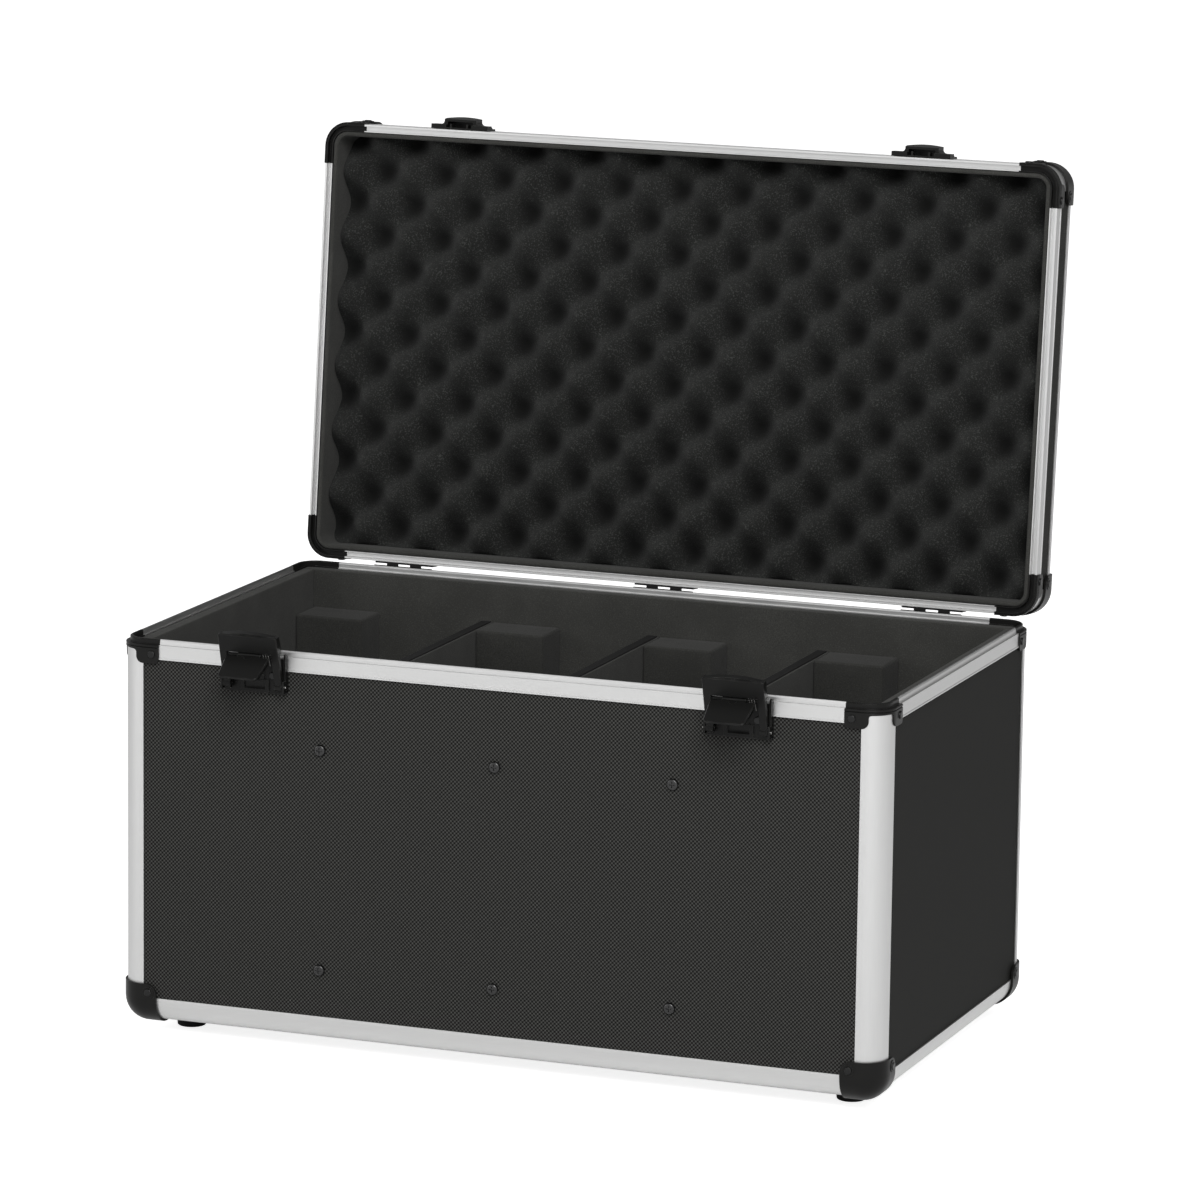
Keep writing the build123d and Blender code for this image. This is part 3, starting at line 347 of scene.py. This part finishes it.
def rounded_loop(half_w, half_d, radius, step, arc_steps=14):
    """Points round a rectangle with round corners, and the outward direction at each of them."""
    x, y, quarter = half_w - radius, half_d - radius, 0.5 * math.pi
    centres = [(x, y), (-x, y), (-x, -y), (x, -y)]
    places, ways = [], []
    for k, (cx, cy) in enumerate(centres):
        angle = k * quarter + np.linspace(0, quarter, arc_steps + 1)
        way = np.stack([np.cos(angle), np.sin(angle)], axis=-1)
        place = np.array([cx, cy]) + radius * way
        after = np.array(centres[(k + 1) % 4]) + radius * way[-1]
        count = max(2, int(round(np.linalg.norm(after - place[-1]) / step)))
        share = np.linspace(0, 1, count + 1)[1:-1, None]
        run = place[-1] * (1 - share) + after * share
        places += [place, run]
        ways += [way, np.repeat(way[-1:], len(run), axis=0)]
    return np.concatenate(places), np.concatenate(ways)


def egg_crate_surface(foam):
    """The lid's bumpy foam on the shut lid.

    Its depth behind the seam is middle - swing cos(2 pi x / a) cos(2 pi y / b), with x and y
    counted from a peak. That puts peaks at the corners and the centre of every a by b cell. The
    edge is a rectangle with round corners: each line of the grid across it ends where that
    outline does.
    """
    inset = LINER_OUT + foam.strip_thickness + LID_FOAM_GAP
    half_w, half_d = HALF_W - inset, HALF_D - inset
    radius = foam.corner_radius - foam.strip_thickness - LID_FOAM_GAP
    bend = np.sin(np.linspace(0, 0.5 * math.pi, 13)[1:]) * radius
    straight = half_w - radius
    across = np.linspace(-straight, straight, int(round(2 * straight / foam.grid_step)) + 1)
    x = np.concatenate([-(straight + bend)[::-1], across, straight + bend])
    over = np.clip(np.abs(x) - straight, 0, radius)
    reach = half_d - radius + np.sqrt(radius ** 2 - over ** 2)
    share = np.linspace(-1, 1, int(round(2 * half_d / foam.grid_step)) + 1)
    grid = np.empty((len(x), len(share), 3))
    grid[..., 0] = x[:, None]
    grid[..., 1] = reach[:, None] * share[None, :]
    back = grid.copy()
    depth_in = np.minimum(HALF_W - np.abs(grid[..., 0]), HALF_D - np.abs(grid[..., 1]))
    back[..., 2] = SEAM_Z + foam.slab_back - foam.rebate * (depth_in < foam.rebate_reach)
    wave = np.cos(2 * math.pi * (grid[..., 0] - foam.bump_start[0]) / foam.bump_pitch_x)
    wave *= np.cos(2 * math.pi * (grid[..., 1] - foam.bump_start[1]) / foam.bump_pitch_y)
    middle = 0.5 * (foam.valley_drop + foam.peak_drop)
    swing = 0.5 * (foam.valley_drop - foam.peak_drop)
    grid[..., 2] = SEAM_Z + middle - swing * wave
    points, faces = closed_slab(grid, back)
    return swing_open(points), faces


def lid_strip_surface(foam):
    """The strip round the inside of the lid: a bar with a round front, carried round a loop."""
    half = 0.5 * foam.strip_thickness
    inset = LINER_OUT + half
    path, ways = rounded_loop(HALF_W - inset, HALF_D - inset, foam.corner_radius - half, step=0.01)
    turn = np.linspace(math.pi, 2 * math.pi, 9)
    low, high = STRIP_FRONT, foam.slab_back - foam.rebate
    nose_across, nose_up = half * np.cos(turn), low + half + half * np.sin(turn)
    across = np.concatenate([nose_across, [half, half, 0, -half, -half]])
    up = np.concatenate([nose_up, [0.5 * high, high, high, high, 0.5 * high]])
    grid = np.empty((len(path), len(across), 3))
    grid[..., :2] = path[:, None, :] + ways[:, None, :] * across[None, :, None]
    grid[..., 2] = SEAM_Z + up[None, :]
    return swing_open(grid.reshape(-1, 3)), grid_quads(len(path), len(across), closed=True)


def node(tree, kind, inputs=None, **settings):
    """Adds a shader node. Each input gets a plain value, or a link from another node's output."""
    made = tree.nodes.new("ShaderNode" + kind)
    for name, value in settings.items():
        setattr(made, name, value)
    for key, value in (inputs or {}).items():
        if isinstance(value, bpy.types.NodeSocket):
            tree.links.new(value, made.inputs[key])
        else:
            made.inputs[key].default_value = value
    return made


def maths(tree, operation, *values):
    """One arithmetic step between numbers or outputs."""
    return node(tree, "Math", dict(enumerate(values)), operation=operation).outputs[0]


def mix_colours(tree, share, dark, light):
    """A colour between two others. The share is 0 for the first and 1 for the second."""
    ends = [end if isinstance(end, bpy.types.NodeSocket) else (*end, 1) for end in (dark, light)]
    return node(tree, "Mix", {"Factor": share, 6: ends[0], 7: ends[1]}, data_type="RGBA").outputs[2]


def shade(colour, times):
    """A colour made lighter or darker by a factor."""
    return tuple(min(1.0, part * times) for part in colour)


def ramp(tree, value, low, high):
    """Takes a value smoothly from 0 at one level to 1 at another, and keeps it between them."""
    inputs = {"Value": value, "From Min": low, "From Max": high}
    return node(tree, "MapRange", inputs, clamp=True, interpolation_type="SMOOTHSTEP").outputs[0]


def noise(tree, where, scale, detail=2.0, roughness=0.5):
    """Smooth noise about 0.5, with scale bumps to the metre."""
    inputs = {"Vector": where, "Scale": scale, "Detail": detail, "Roughness": roughness}
    return node(tree, "TexNoise", inputs).outputs["Fac"]


def dot(tree, first, second):
    """The dot product of two vectors or outputs."""
    return node(tree, "VectorMath", {0: first, 1: second}, operation="DOT_PRODUCT").outputs["Value"]


def object_place(tree):
    """Where a surface point is in its own object, in metres."""
    return node(tree, "TexCoord").outputs["Object"]


def bumped(tree, height, depth, normal=None):
    """A normal that follows a height from 0 to 1, with the given depth in metres."""
    inputs = {"Height": height, "Distance": depth, "Strength": 1.0}
    if normal is not None:
        inputs["Normal"] = normal
    return node(tree, "Bump", inputs).outputs[0]


def soft_edges(tree, radius):
    """A normal that is rounded over sharp edges, and a mask that is above 0 along those edges."""
    rounded = node(tree, "Bevel", {"Radius": radius}, samples=6).outputs[0]
    plain = node(tree, "NewGeometry").outputs["Normal"]
    return rounded, ramp(tree, dot(tree, rounded, plain), 0.995, 0.86)


def new_material(name):
    """An empty material with its shader, and the tree that they stand in."""
    material = bpy.data.materials.new(name)
    material.use_nodes = True
    tree = material.node_tree
    tree.nodes.clear()
    shader = tree.nodes.new("ShaderNodeBsdfPrincipled")
    end = tree.nodes.new("ShaderNodeOutputMaterial")
    tree.links.new(shader.outputs[0], end.inputs[0])
    return material, tree, shader


def connect(tree, shader, **inputs):
    """Links or sets inputs of the main shader. Underscores stand for spaces in their names."""
    for key, value in inputs.items():
        socket = shader.inputs[key.replace("_", " ")]
        if isinstance(value, bpy.types.NodeSocket):
            tree.links.new(value, socket)
        elif socket.type == "RGBA":
            socket.default_value = (*value, 1)
        else:
            socket.default_value = value


def foam_material(name, colour, cells, depth, speck, painted_hollow_shade=None):
    """Open-cell foam: fine pits in painted shade, pale specks of cut cell walls, and slow patches
    of tone.

    The last argument is a direction and two places along it, between which the foam is
    painted darker: painted shade that grows towards the valleys.
    """
    material, tree, shader = new_material(name)
    place = object_place(tree)
    pits = noise(tree, place, cells, detail=3.0, roughness=0.6)
    patches = ramp(tree, noise(tree, place, 26.0), 0.3, 0.7)
    specks = ramp(tree, noise(tree, place, cells * 0.62, detail=0.0), 0.56, 0.72)
    tone = mix_colours(tree, patches, shade(colour, 0.88), shade(colour, 1.1))
    tone = mix_colours(tree, maths(tree, "MULTIPLY", specks, speck), tone, shade(colour, 5.0))
    # Painted shade: where the fine pits of the bump lie low, the foam is painted darker.
    tone = mix_colours(tree, ramp(tree, pits, 0.55, 0.3), tone, shade(colour, 0.55))
    # Painted shade: the foam is painted darker towards the valleys.
    if painted_hollow_shade is not None:
        way, start, end = painted_hollow_shade
        valley_shade = ramp(tree, dot(tree, place, way), start, end)
        tone = mix_colours(tree, valley_shade, tone, shade(colour, 0.3))
    connect(tree, shader, Base_Color=tone, Roughness=0.95, Specular_IOR_Level=0.1,
            Sheen_Weight=0.05, Sheen_Roughness=0.6, Normal=bumped(tree, pits, depth))
    return material


def flat_foam_material(name, colour):
    """The fine, even foam of the flat sheets and blocks."""
    return foam_material(name, colour, cells=1800.0, depth=0.0002, speck=0.10)


def laminate_material(name, finish, across, up, glint_and_emboss=1.0):
    """Embossed laminate: points where two sets of diagonal waves rise together, on fine grain.
    The points are painted far paler than the ground: painted highlights on the embossing.

    Across and up lie in the sheet. A last argument below 1 makes the painted highlights and the
    embossing fainter.
    """
    material, tree, shader = new_material(name)
    place = object_place(tree)
    turns = math.sqrt(0.5) * 2 * math.pi / finish.emboss_pitch
    rows = []
    for side in (1, -1):
        way = (Vector(across) + side * Vector(up)) * turns
        rows.append(maths(tree, "COSINE", dot(tree, place, way)))
    points = ramp(tree, maths(tree, "ADD", *rows), -1.3, 1.9)
    grain = noise(tree, place, 900.0)
    patches = noise(tree, place, 9.0)
    colour = finish.laminate_colour
    # Painted highlights: the points are painted up to several times paler than the laminate.
    low, high = 0.8 - 0.45 * glint_and_emboss, 0.8 + 2.8 * glint_and_emboss
    dark = mix_colours(tree, patches, shade(colour, low), shade(colour, 1.2 * low))
    bright = shade(colour, high)
    light = mix_colours(tree, grain, shade(bright, 0.8), bright)
    height = maths(tree, "MULTIPLY_ADD", grain, 0.12, points)
    connect(tree, shader, Base_Color=mix_colours(tree, points, dark, light),
            Roughness=maths(tree, "MULTIPLY_ADD", grain, 0.12, 0.52),
            Specular_IOR_Level=0.03, Normal=bumped(tree, height, glint_and_emboss * finish.emboss_height))
    return material


def extrusion_lines(tree, place, along):
    """Fine drawn lines: noise that is stretched some thirty times along one direction."""
    scale = [1.0 - 0.97 * abs(part) for part in along]
    stretched = node(tree, "VectorMath", {0: place, 1: scale}, operation="MULTIPLY")
    return noise(tree, stretched.outputs["Vector"], 1400.0)


def aluminium_material(name, colour, along, across=None, split=None, lid=False):
    """Satin anodised aluminium with faint lines along each bar.

    Where one part has bars both ways, those whose x is further out than split take the lines of
    across.
    """
    material, tree, shader = new_material(name)
    place = object_place(tree)
    if lid:
        turned = {"Vector": place, "Rotation": (LID_OPEN, 0, 0)}
        place = node(tree, "Mapping", turned).outputs["Vector"]
    lines = extrusion_lines(tree, place, along)
    if across is not None:
        x = maths(tree, "ABSOLUTE", node(tree, "SeparateXYZ", {"Vector": place}).outputs["X"])
        outside = maths(tree, "GREATER_THAN", x, split)
        other = extrusion_lines(tree, place, across)
        lines = node(tree, "Mix", {"Factor": outside, 2: lines, 3: other}).outputs[0]
    haze = noise(tree, place, 40.0, detail=3.0)
    rough = maths(tree, "MULTIPLY_ADD", haze, 0.10, maths(tree, "MULTIPLY_ADD", lines, 0.10, 0.30))
    share = maths(tree, "MULTIPLY", lines, 0.6)
    tone = mix_colours(tree, share, shade(colour, 0.93), shade(colour, 1.04))
    rounded, edges = soft_edges(tree, radius=0.00035)
    # Painted highlight: the edges are painted a little paler.
    tone = mix_colours(tree, maths(tree, "MULTIPLY", edges, 0.4), tone, shade(colour, 1.15))
    connect(tree, shader, Base_Color=tone, Metallic=1.0, Roughness=rough,
            Normal=bumped(tree, lines, depth=0.00001, normal=rounded))
    return material


def moulding_material(name, colour, rough=0.30, grain=0.00003, edge=3.0):
    """Moulded plastic: an even fine grain, paler in patches along its edges: wear and painted
    highlight.
    """
    material, tree, shader = new_material(name)
    place = object_place(tree)
    pores = noise(tree, place, 1900.0)
    wear = noise(tree, place, 120.0, detail=3.0)
    rounded, edges = soft_edges(tree, radius=0.0005)
    # Wear and painted highlight: the edges are painted paler where the wear noise is high.
    rubbed_and_highlit = maths(tree, "MULTIPLY", edges, ramp(tree, wear, 0.35, 0.7))
    tone = mix_colours(tree, pores, shade(colour, 0.9), shade(colour, 1.1))
    tone = mix_colours(tree, rubbed_and_highlit, tone, shade(colour, edge))
    connect(tree, shader, Base_Color=tone, Specular_IOR_Level=0.13,
            Roughness=maths(tree, "MULTIPLY_ADD", wear, 0.10, rough - 0.05),
            Normal=bumped(tree, pores, grain, rounded))
    return material


def metal_material(name, colour, rough, metal=1.0, scale=700.0):
    """Small bare or darkened metal parts, with fine uneven sheen, soft edges and a painted
    highlight on them.
    """
    material, tree, shader = new_material(name)
    place = object_place(tree)
    grain = noise(tree, place, scale, detail=3.0)
    rounded, edges = soft_edges(tree, radius=0.0003)
    tone = mix_colours(tree, grain, shade(colour, 0.8), shade(colour, 1.15))
    # Painted highlight: the edges are painted paler.
    tone = mix_colours(tree, edges, tone, shade(colour, 1.6))
    connect(tree, shader, Base_Color=tone, Metallic=metal,
            Normal=bumped(tree, grain, depth=0.00001, normal=rounded),
            Roughness=maths(tree, "MULTIPLY_ADD", grain, 0.16, rough - 0.08))
    return material


def board_material(name, colour):
    """Black stained plywood, with long fibres from front to back."""
    material, tree, shader = new_material(name)
    place = object_place(tree)
    fibres = extrusion_lines(tree, place, ALONG_Y)
    tone = mix_colours(tree, fibres, shade(colour, 0.7), shade(colour, 1.4))
    connect(tree, shader, Base_Color=tone, Roughness=0.7, Specular_IOR_Level=0.3,
            Normal=bumped(tree, fibres, depth=0.00008))
    return material


def paint(material, *names):
    """Gives a finish to parts that keep their own shape."""
    for name in names:
        for holder in frame["nodes"][name].material_slots:
            holder.material = material


class FLIGHTCASE_OT_lid_foam(CaseOperator, bpy.types.Operator):
    """Makes the bumpy foam that fills the lid"""

    bl_idname = "flight_case.lid_foam"
    bl_label = "Lid foam"

    def make(self, scene):
        foam = scene.flight_case_foam
        inward = on_open_lid(ALONG_Z)
        seam = inward @ Vector((0, HINGE_Y, SEAM_Z))
        # Painted shade runs from about halfway down the bumps to the bottom of the valleys.
        start = seam + 0.55 * foam.peak_drop + 0.45 * foam.valley_drop
        painted_hollow_shade = (inward, start, seam + foam.valley_drop)
        material = foam_material("acoustic_foam", foam.acoustic_colour, cells=1500.0, depth=0.0005,
                                 speck=0.55, painted_hollow_shade=painted_hollow_shade)
        points, faces = egg_crate_surface(foam)
        make_foam("bumpy_lid_foam", points, faces, "lid", material, ["lid_egg_crate_foam"], 1.0)


class FLIGHTCASE_OT_lid_strip(CaseOperator, bpy.types.Operator):
    """Makes the foam strip round the inside of the lid"""

    bl_idname = "flight_case.lid_strip"
    bl_label = "Lid strip"

    def make(self, scene):
        foam = scene.flight_case_foam
        material = flat_foam_material("strip_foam", foam.liner_colour)
        points, faces = lid_strip_surface(foam)
        make_foam("lid_foam_strip", points, faces, "lid", material, ["lid_liner_strip"], 1.0)


class FLIGHTCASE_OT_wall_liners(CaseOperator, bpy.types.Operator):
    """Makes the foam sheets on the four walls and the floor"""

    bl_idname = "flight_case.wall_liners"
    bl_label = "Wall and floor liners"

    def make(self, scene):
        foam = scene.flight_case_foam
        material = flat_foam_material("liner_foam", foam.liner_colour)
        for name in [f"{wall}_wall_liner" for wall in WALLS] + ["floor_liner"]:
            low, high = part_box(name)
            points, faces = rounded_sheet(low, high, foam.edge_radius, step=0.012, sag=0.0003)
            make_foam(f"soft_{name}", points, faces, "body", material, [name], 1.0)


class FLIGHTCASE_OT_divider_facings(CaseOperator, bpy.types.Operator):
    """Makes the thin foam facings on both sides of the dividers"""

    bl_idname = "flight_case.divider_facings"
    bl_label = "Divider facings"

    def make(self, scene):
        foam = scene.flight_case_foam
        material = flat_foam_material("facing_foam", foam.liner_colour)
        floor, top = (corner[2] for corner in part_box("divider_facings"))
        sheets = []
        for name in DIVIDERS:
            low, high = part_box(name)
            for x in (low[0] - FACING_T, high[0]):
                corner, far = (x, low[1], floor), (x + FACING_T, high[1], top)
                sheets.append(rounded_sheet(corner, far, FACING_EDGE, step=0.012, sag=0.0001))
        make_foam("soft_divider_facings", *joined(sheets), "body", material,
                  ["divider_facings"], 1.0)


class FLIGHTCASE_OT_foam_blocks(CaseOperator, bpy.types.Operator):
    """Makes the upright foam block in the back corner of each bay"""

    bl_idname = "flight_case.foam_blocks"
    bl_label = "Foam blocks"

    def make(self, scene):
        foam = scene.flight_case_foam
        material = flat_foam_material("block_foam", shade(foam.liner_colour, 0.75))
        low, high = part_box("foam_blocks")
        starts = [low[0]] + [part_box(name)[1][0] + FACING_T + foam.block_gap for name in DIVIDERS]
        blocks = []
        for x in starts:
            corner, far = (x, low[1], low[2]), (x + foam.block_width, high[1], high[2])
            blocks.append(rounded_sheet(corner, far, 2 * foam.edge_radius, step=0.008, sag=0.0004))
        make_foam("soft_foam_blocks", *joined(blocks), "body", material, ["foam_blocks"], 1.0)


class FLIGHTCASE_OT_laminate(CaseOperator, bpy.types.Operator):
    """Covers the panels with embossed laminate"""

    bl_idname = "flight_case.laminate"
    bl_label = "Laminate"

    def make(self, scene):
        finish = scene.flight_case_finish
        lid_y, lid_z = on_open_lid(ALONG_Y), on_open_lid(ALONG_Z)
        sheets = {
            "laminate_front": (ALONG_X, ALONG_Z, ["front_panel", "back_panel"]),
            # The sides get a differently lit copy of the same laminate, with fainter painted
            # highlights.
            "laminate_side": (ALONG_Y, ALONG_Z, ["left_panel", "right_panel"], 0.2),
            "laminate_bottom": (ALONG_X, ALONG_Y, ["bottom_panel"]),
            "laminate_lid_top": (ALONG_X, lid_y, ["lid_top_panel"]),
            "laminate_lid_front": (ALONG_X, lid_z, ["lid_front_wall", "lid_back_wall"]),
            "laminate_lid_side": (lid_y, lid_z, ["lid_left_wall", "lid_right_wall"]),
        }
        for name, (across, up, panels, *glint_and_emboss) in sheets.items():
            paint(laminate_material(name, finish, across, up, *glint_and_emboss), *panels)


class FLIGHTCASE_OT_aluminium(CaseOperator, bpy.types.Operator):
    """Finishes the extrusions in satin aluminium"""

    bl_idname = "flight_case.aluminium"
    bl_label = "Aluminium"

    def make(self, scene):
        colour = scene.flight_case_finish.aluminium_colour
        split = END_BARS_FROM
        paint(aluminium_material("upright_aluminium", colour, ALONG_Z), "corner_profiles")
        paint(aluminium_material("base_aluminium", colour, ALONG_X, ALONG_Y, split),
              "bottom_edge_profiles")
        paint(aluminium_material("long_rim_aluminium", colour, ALONG_X), "front_rim_profile",
              "back_rim_profile")
        paint(aluminium_material("short_rim_aluminium", colour, ALONG_Y), "left_rim_profile",
              "right_rim_profile")
        paint(aluminium_material("lid_aluminium", colour, ALONG_X, ALONG_Y, split, lid=True),
              "lid_edge_profiles", "lid_rim_profiles")
        paint(aluminium_material("lid_upright_aluminium", colour, ALONG_Z, lid=True),
              "lid_corner_profiles")


class FLIGHTCASE_OT_mouldings(CaseOperator, bpy.types.Operator):
    """Finishes the moulded corners, the feet, the handle and the dividers' boards"""

    bl_idname = "flight_case.mouldings"
    bl_label = "Moulded parts"

    def make(self, scene):
        finish = scene.flight_case_finish
        paint(moulding_material("corner_plastic", finish.moulding_colour), "bottom_ball_corners",
              "body_rim_corners", "lid_rim_corners", "lid_ball_corners")
        paint(moulding_material("handle_plastic", finish.moulding_colour, rough=0.46),
              "handle_grip", "handle_brackets")
        rubber = moulding_material(
            "foot_rubber", finish.rubber_colour, rough=0.75, grain=0.0001, edge=1.4)
        paint(rubber, "rubber_feet")
        paint(board_material("divider_stain", shade(finish.rubber_colour, 0.7)), *DIVIDERS)


class FLIGHTCASE_OT_latches(CaseOperator, bpy.types.Operator):
    """Finishes the latches, their pins and springs"""

    bl_idname = "flight_case.latches"
    bl_label = "Latches"

    def make(self, scene):
        finish = scene.flight_case_finish
        # The latch edges get a strong painted highlight, nine times the latch colour.
        black = moulding_material(
            "latch_black", finish.latch_colour, rough=0.32, grain=0.00002, edge=9.0)
        wire = metal_material("spring_wire", shade(finish.steel_colour, 0.2), rough=0.35)
        for side in SIDES:
            paint(black, f"{side}_latch_base", f"{side}_latch_frame", f"{side}_latch_lever",
                  f"{side}_lever_pin")
            paint(wire, f"{side}_lever_spring")
        paint(black, "latch_keepers")
        paint(metal_material("pin_steel", finish.steel_colour, rough=0.25), "latch_frame_pins")


class FLIGHTCASE_OT_fasteners(CaseOperator, bpy.types.Operator):
    """Finishes the rivets, screws and hinges"""

    bl_idname = "flight_case.fasteners"
    bl_label = "Rivets, screws and hinges"

    def make(self, scene):
        finish = scene.flight_case_finish
        colour = finish.rivet_colour
        paint(metal_material("dark_rivet", colour, rough=0.34), "body_rivets", "lid_rivets",
              "latch_base_rivets")
        paint(metal_material("dark_screw", shade(colour, 1.8), rough=0.28), "divider_screws",
              "foot_screws")
        # The hinges are painted near black, which also gives the dark line of shade along the seam
        # at them.
        paint(metal_material("dark_hinge", shade(colour, 0.5), rough=0.40, metal=0.8),
              "hinge_body_leaves", "hinge_lid_leaves", "hinge_pins")


def add_light(name, power, size, place, target):
    """A square soft light at one place, turned to face another."""
    light = bpy.data.lights.new(name, "AREA")
    light.shape = "SQUARE"
    light.size = size
    light.energy = power
    holder = bpy.data.objects.new(name, light)
    holder.location = place
    holder.rotation_euler = (Vector(target) - Vector(place)).to_track_quat("-Z", "Y").to_euler()
    bpy.context.scene.collection.objects.link(holder)


def add_camera(studio):
    """The camera at its azimuth and elevation, rolled a little, and slid sideways and up."""
    a, e = studio.azimuth, studio.elevation
    back = Vector((math.sin(a) * math.cos(e), -math.cos(a) * math.cos(e), math.sin(e)))
    right = Vector((math.cos(a), math.sin(a), 0))
    up = back.cross(right)
    rolled_right = math.cos(studio.roll) * right + math.sin(studio.roll) * up
    rolled_up = math.cos(studio.roll) * up - math.sin(studio.roll) * right
    place = back * studio.distance + rolled_right * studio.slide[0] + rolled_up * studio.slide[1]
    place += Vector((0, 0, studio.target_height))
    turn = Matrix((rolled_right, rolled_up, back)).transposed().to_4x4()
    camera = bpy.data.cameras.new("studio_camera")
    camera.sensor_width = 36.0
    camera.lens = studio.lens
    camera.clip_end = 100.0
    holder = bpy.data.objects.new("studio_camera", camera)
    holder.matrix_world = Matrix.Translation(place) @ turn
    bpy.context.scene.collection.objects.link(holder)
    bpy.context.scene.camera = holder


def add_floor(studio):
    """A pale floor that keeps the shadow, looks white to the camera, and is clear from below."""
    corners = [(x * FLOOR_HALF, y * FLOOR_HALF, 0) for x, y in ((-1, -1), (1, -1), (1, 1), (-1, 1))]
    mesh = bpy.data.meshes.new("studio_floor")
    mesh.from_pydata(corners, [], [(0, 1, 2, 3)])
    floor = bpy.data.objects.new("studio_floor", mesh)
    bpy.context.scene.collection.objects.link(floor)
    material = bpy.data.materials.new("studio_floor")
    material.use_nodes = True
    tree = material.node_tree
    tree.nodes.clear()
    pale = node(tree, "BsdfDiffuse", {"Color": (0.82, 0.82, 0.82, 1)}).outputs[0]
    camera, shiny = ray_kinds(tree)
    seen = maths(tree, "MULTIPLY_ADD", shiny, 0.3, camera)
    lift = maths(tree, "MULTIPLY", seen, studio.floor_lift)
    glow = node(tree, "Emission", {"Strength": lift})
    surface = node(tree, "AddShader", {0: pale, 1: glow.outputs[0]}).outputs[0]
    below = node(tree, "NewGeometry").outputs["Backfacing"]
    clear = node(tree, "BsdfTransparent").outputs[0]
    whole = node(tree, "MixShader", {0: below, 1: surface, 2: clear}).outputs[0]
    node(tree, "OutputMaterial", {"Surface": whole})
    mesh.materials.append(material)


def ray_kinds(tree):
    """Two values: 1 for rays from the camera, and 1 for rays that metal or glass sends on."""
    rays = node(tree, "LightPath").outputs
    shiny = maths(tree, "MAXIMUM", rays["Is Glossy Ray"], rays["Is Transmission Ray"])
    return rays["Is Camera Ray"], shiny


def add_world(studio):
    """Even light from all round, and a white background that metal sees dim overhead and behind."""
    world = bpy.data.worlds.new("studio_world")
    world.use_nodes = True
    tree = world.node_tree
    tree.nodes.clear()
    way = node(tree, "SeparateXYZ", {"Vector": node(tree, "TexCoord").outputs["Generated"]})
    above = ramp(tree, way.outputs["Z"], 0.95, 0.35)
    behind = ramp(tree, way.outputs["Y"], 0.95, 0.20)
    zenith, back = studio.zenith_level, studio.back_level
    gloss = maths(tree, "MULTIPLY", maths(tree, "MULTIPLY_ADD", above, 1.0 - zenith, zenith),
                  maths(tree, "MULTIPLY_ADD", behind, 1.0 - back, back))
    camera, shiny = ray_kinds(tree)
    level = studio.world_level
    strength = maths(tree, "MULTIPLY_ADD", shiny, maths(tree, "SUBTRACT", gloss, level), level)
    strength = maths(tree, "MAXIMUM", strength, camera)
    light = node(tree, "Background", {"Color": (1, 1, 1, 1), "Strength": strength}).outputs[0]
    node(tree, "OutputWorld", {"Surface": light})
    bpy.context.scene.world = world


class FLIGHTCASE_OT_studio(CaseOperator, bpy.types.Operator):
    """Makes the camera, lights, floor and background"""

    bl_idname = "flight_case.studio"
    bl_label = "Studio"

    def make(self, scene):
        studio = scene.flight_case_studio
        add_camera(studio)
        add_floor(studio)
        add_world(studio)
        add_light("key_light", studio.key_power, size=2.4, place=(1.5, -3.1, 3.0),
                  target=LIGHT_TARGET)
        add_light("fill_light", studio.fill_power, size=1.6, place=(-3.0, -2.4, 1.2),
                  target=LIGHT_TARGET)
        scene.view_settings.view_transform = "Standard"


OPERATORS = (
    FLIGHTCASE_OT_lid_foam, FLIGHTCASE_OT_lid_strip, FLIGHTCASE_OT_wall_liners,
    FLIGHTCASE_OT_divider_facings, FLIGHTCASE_OT_foam_blocks, FLIGHTCASE_OT_laminate,
    FLIGHTCASE_OT_aluminium, FLIGHTCASE_OT_mouldings, FLIGHTCASE_OT_latches,
    FLIGHTCASE_OT_fasteners, FLIGHTCASE_OT_studio,
)
GROUPS = {
    "flight_case_foam": FoamSizes,
    "flight_case_finish": CaseFinish,
    "flight_case_studio": Studio,
}


class FLIGHTCASE_PT_sidebar(bpy.types.Panel):
    """Lists the pieces of the flight case and what can be changed on them"""

    bl_idname = "FLIGHTCASE_PT_sidebar"
    bl_label = "Flight case"
    bl_space_type = "VIEW_3D"
    bl_region_type = "UI"
    bl_category = "Flight case"

    def draw(self, context):
        for holder, group in GROUPS.items():
            box = self.layout.box()
            for name in group.__annotations__:
                box.prop(getattr(context.scene, holder), name)
        for operator in OPERATORS:
            self.layout.operator(operator.bl_idname)


CLASSES = (*GROUPS.values(), *OPERATORS, FLIGHTCASE_PT_sidebar)


def register():
    for item in CLASSES:
        bpy.utils.register_class(item)
    for holder, group in GROUPS.items():
        setattr(bpy.types.Scene, holder, PointerProperty(type=group))


def unregister():
    for holder in GROUPS:
        delattr(bpy.types.Scene, holder)
    for item in reversed(CLASSES):
        bpy.utils.unregister_class(item)


def main():
    """Makes every piece in order."""
    register()
    for operator in OPERATORS:
        family, action = operator.bl_idname.split(".")
        getattr(getattr(bpy.ops, family), action)()


if __name__ == "__main__":
    main()
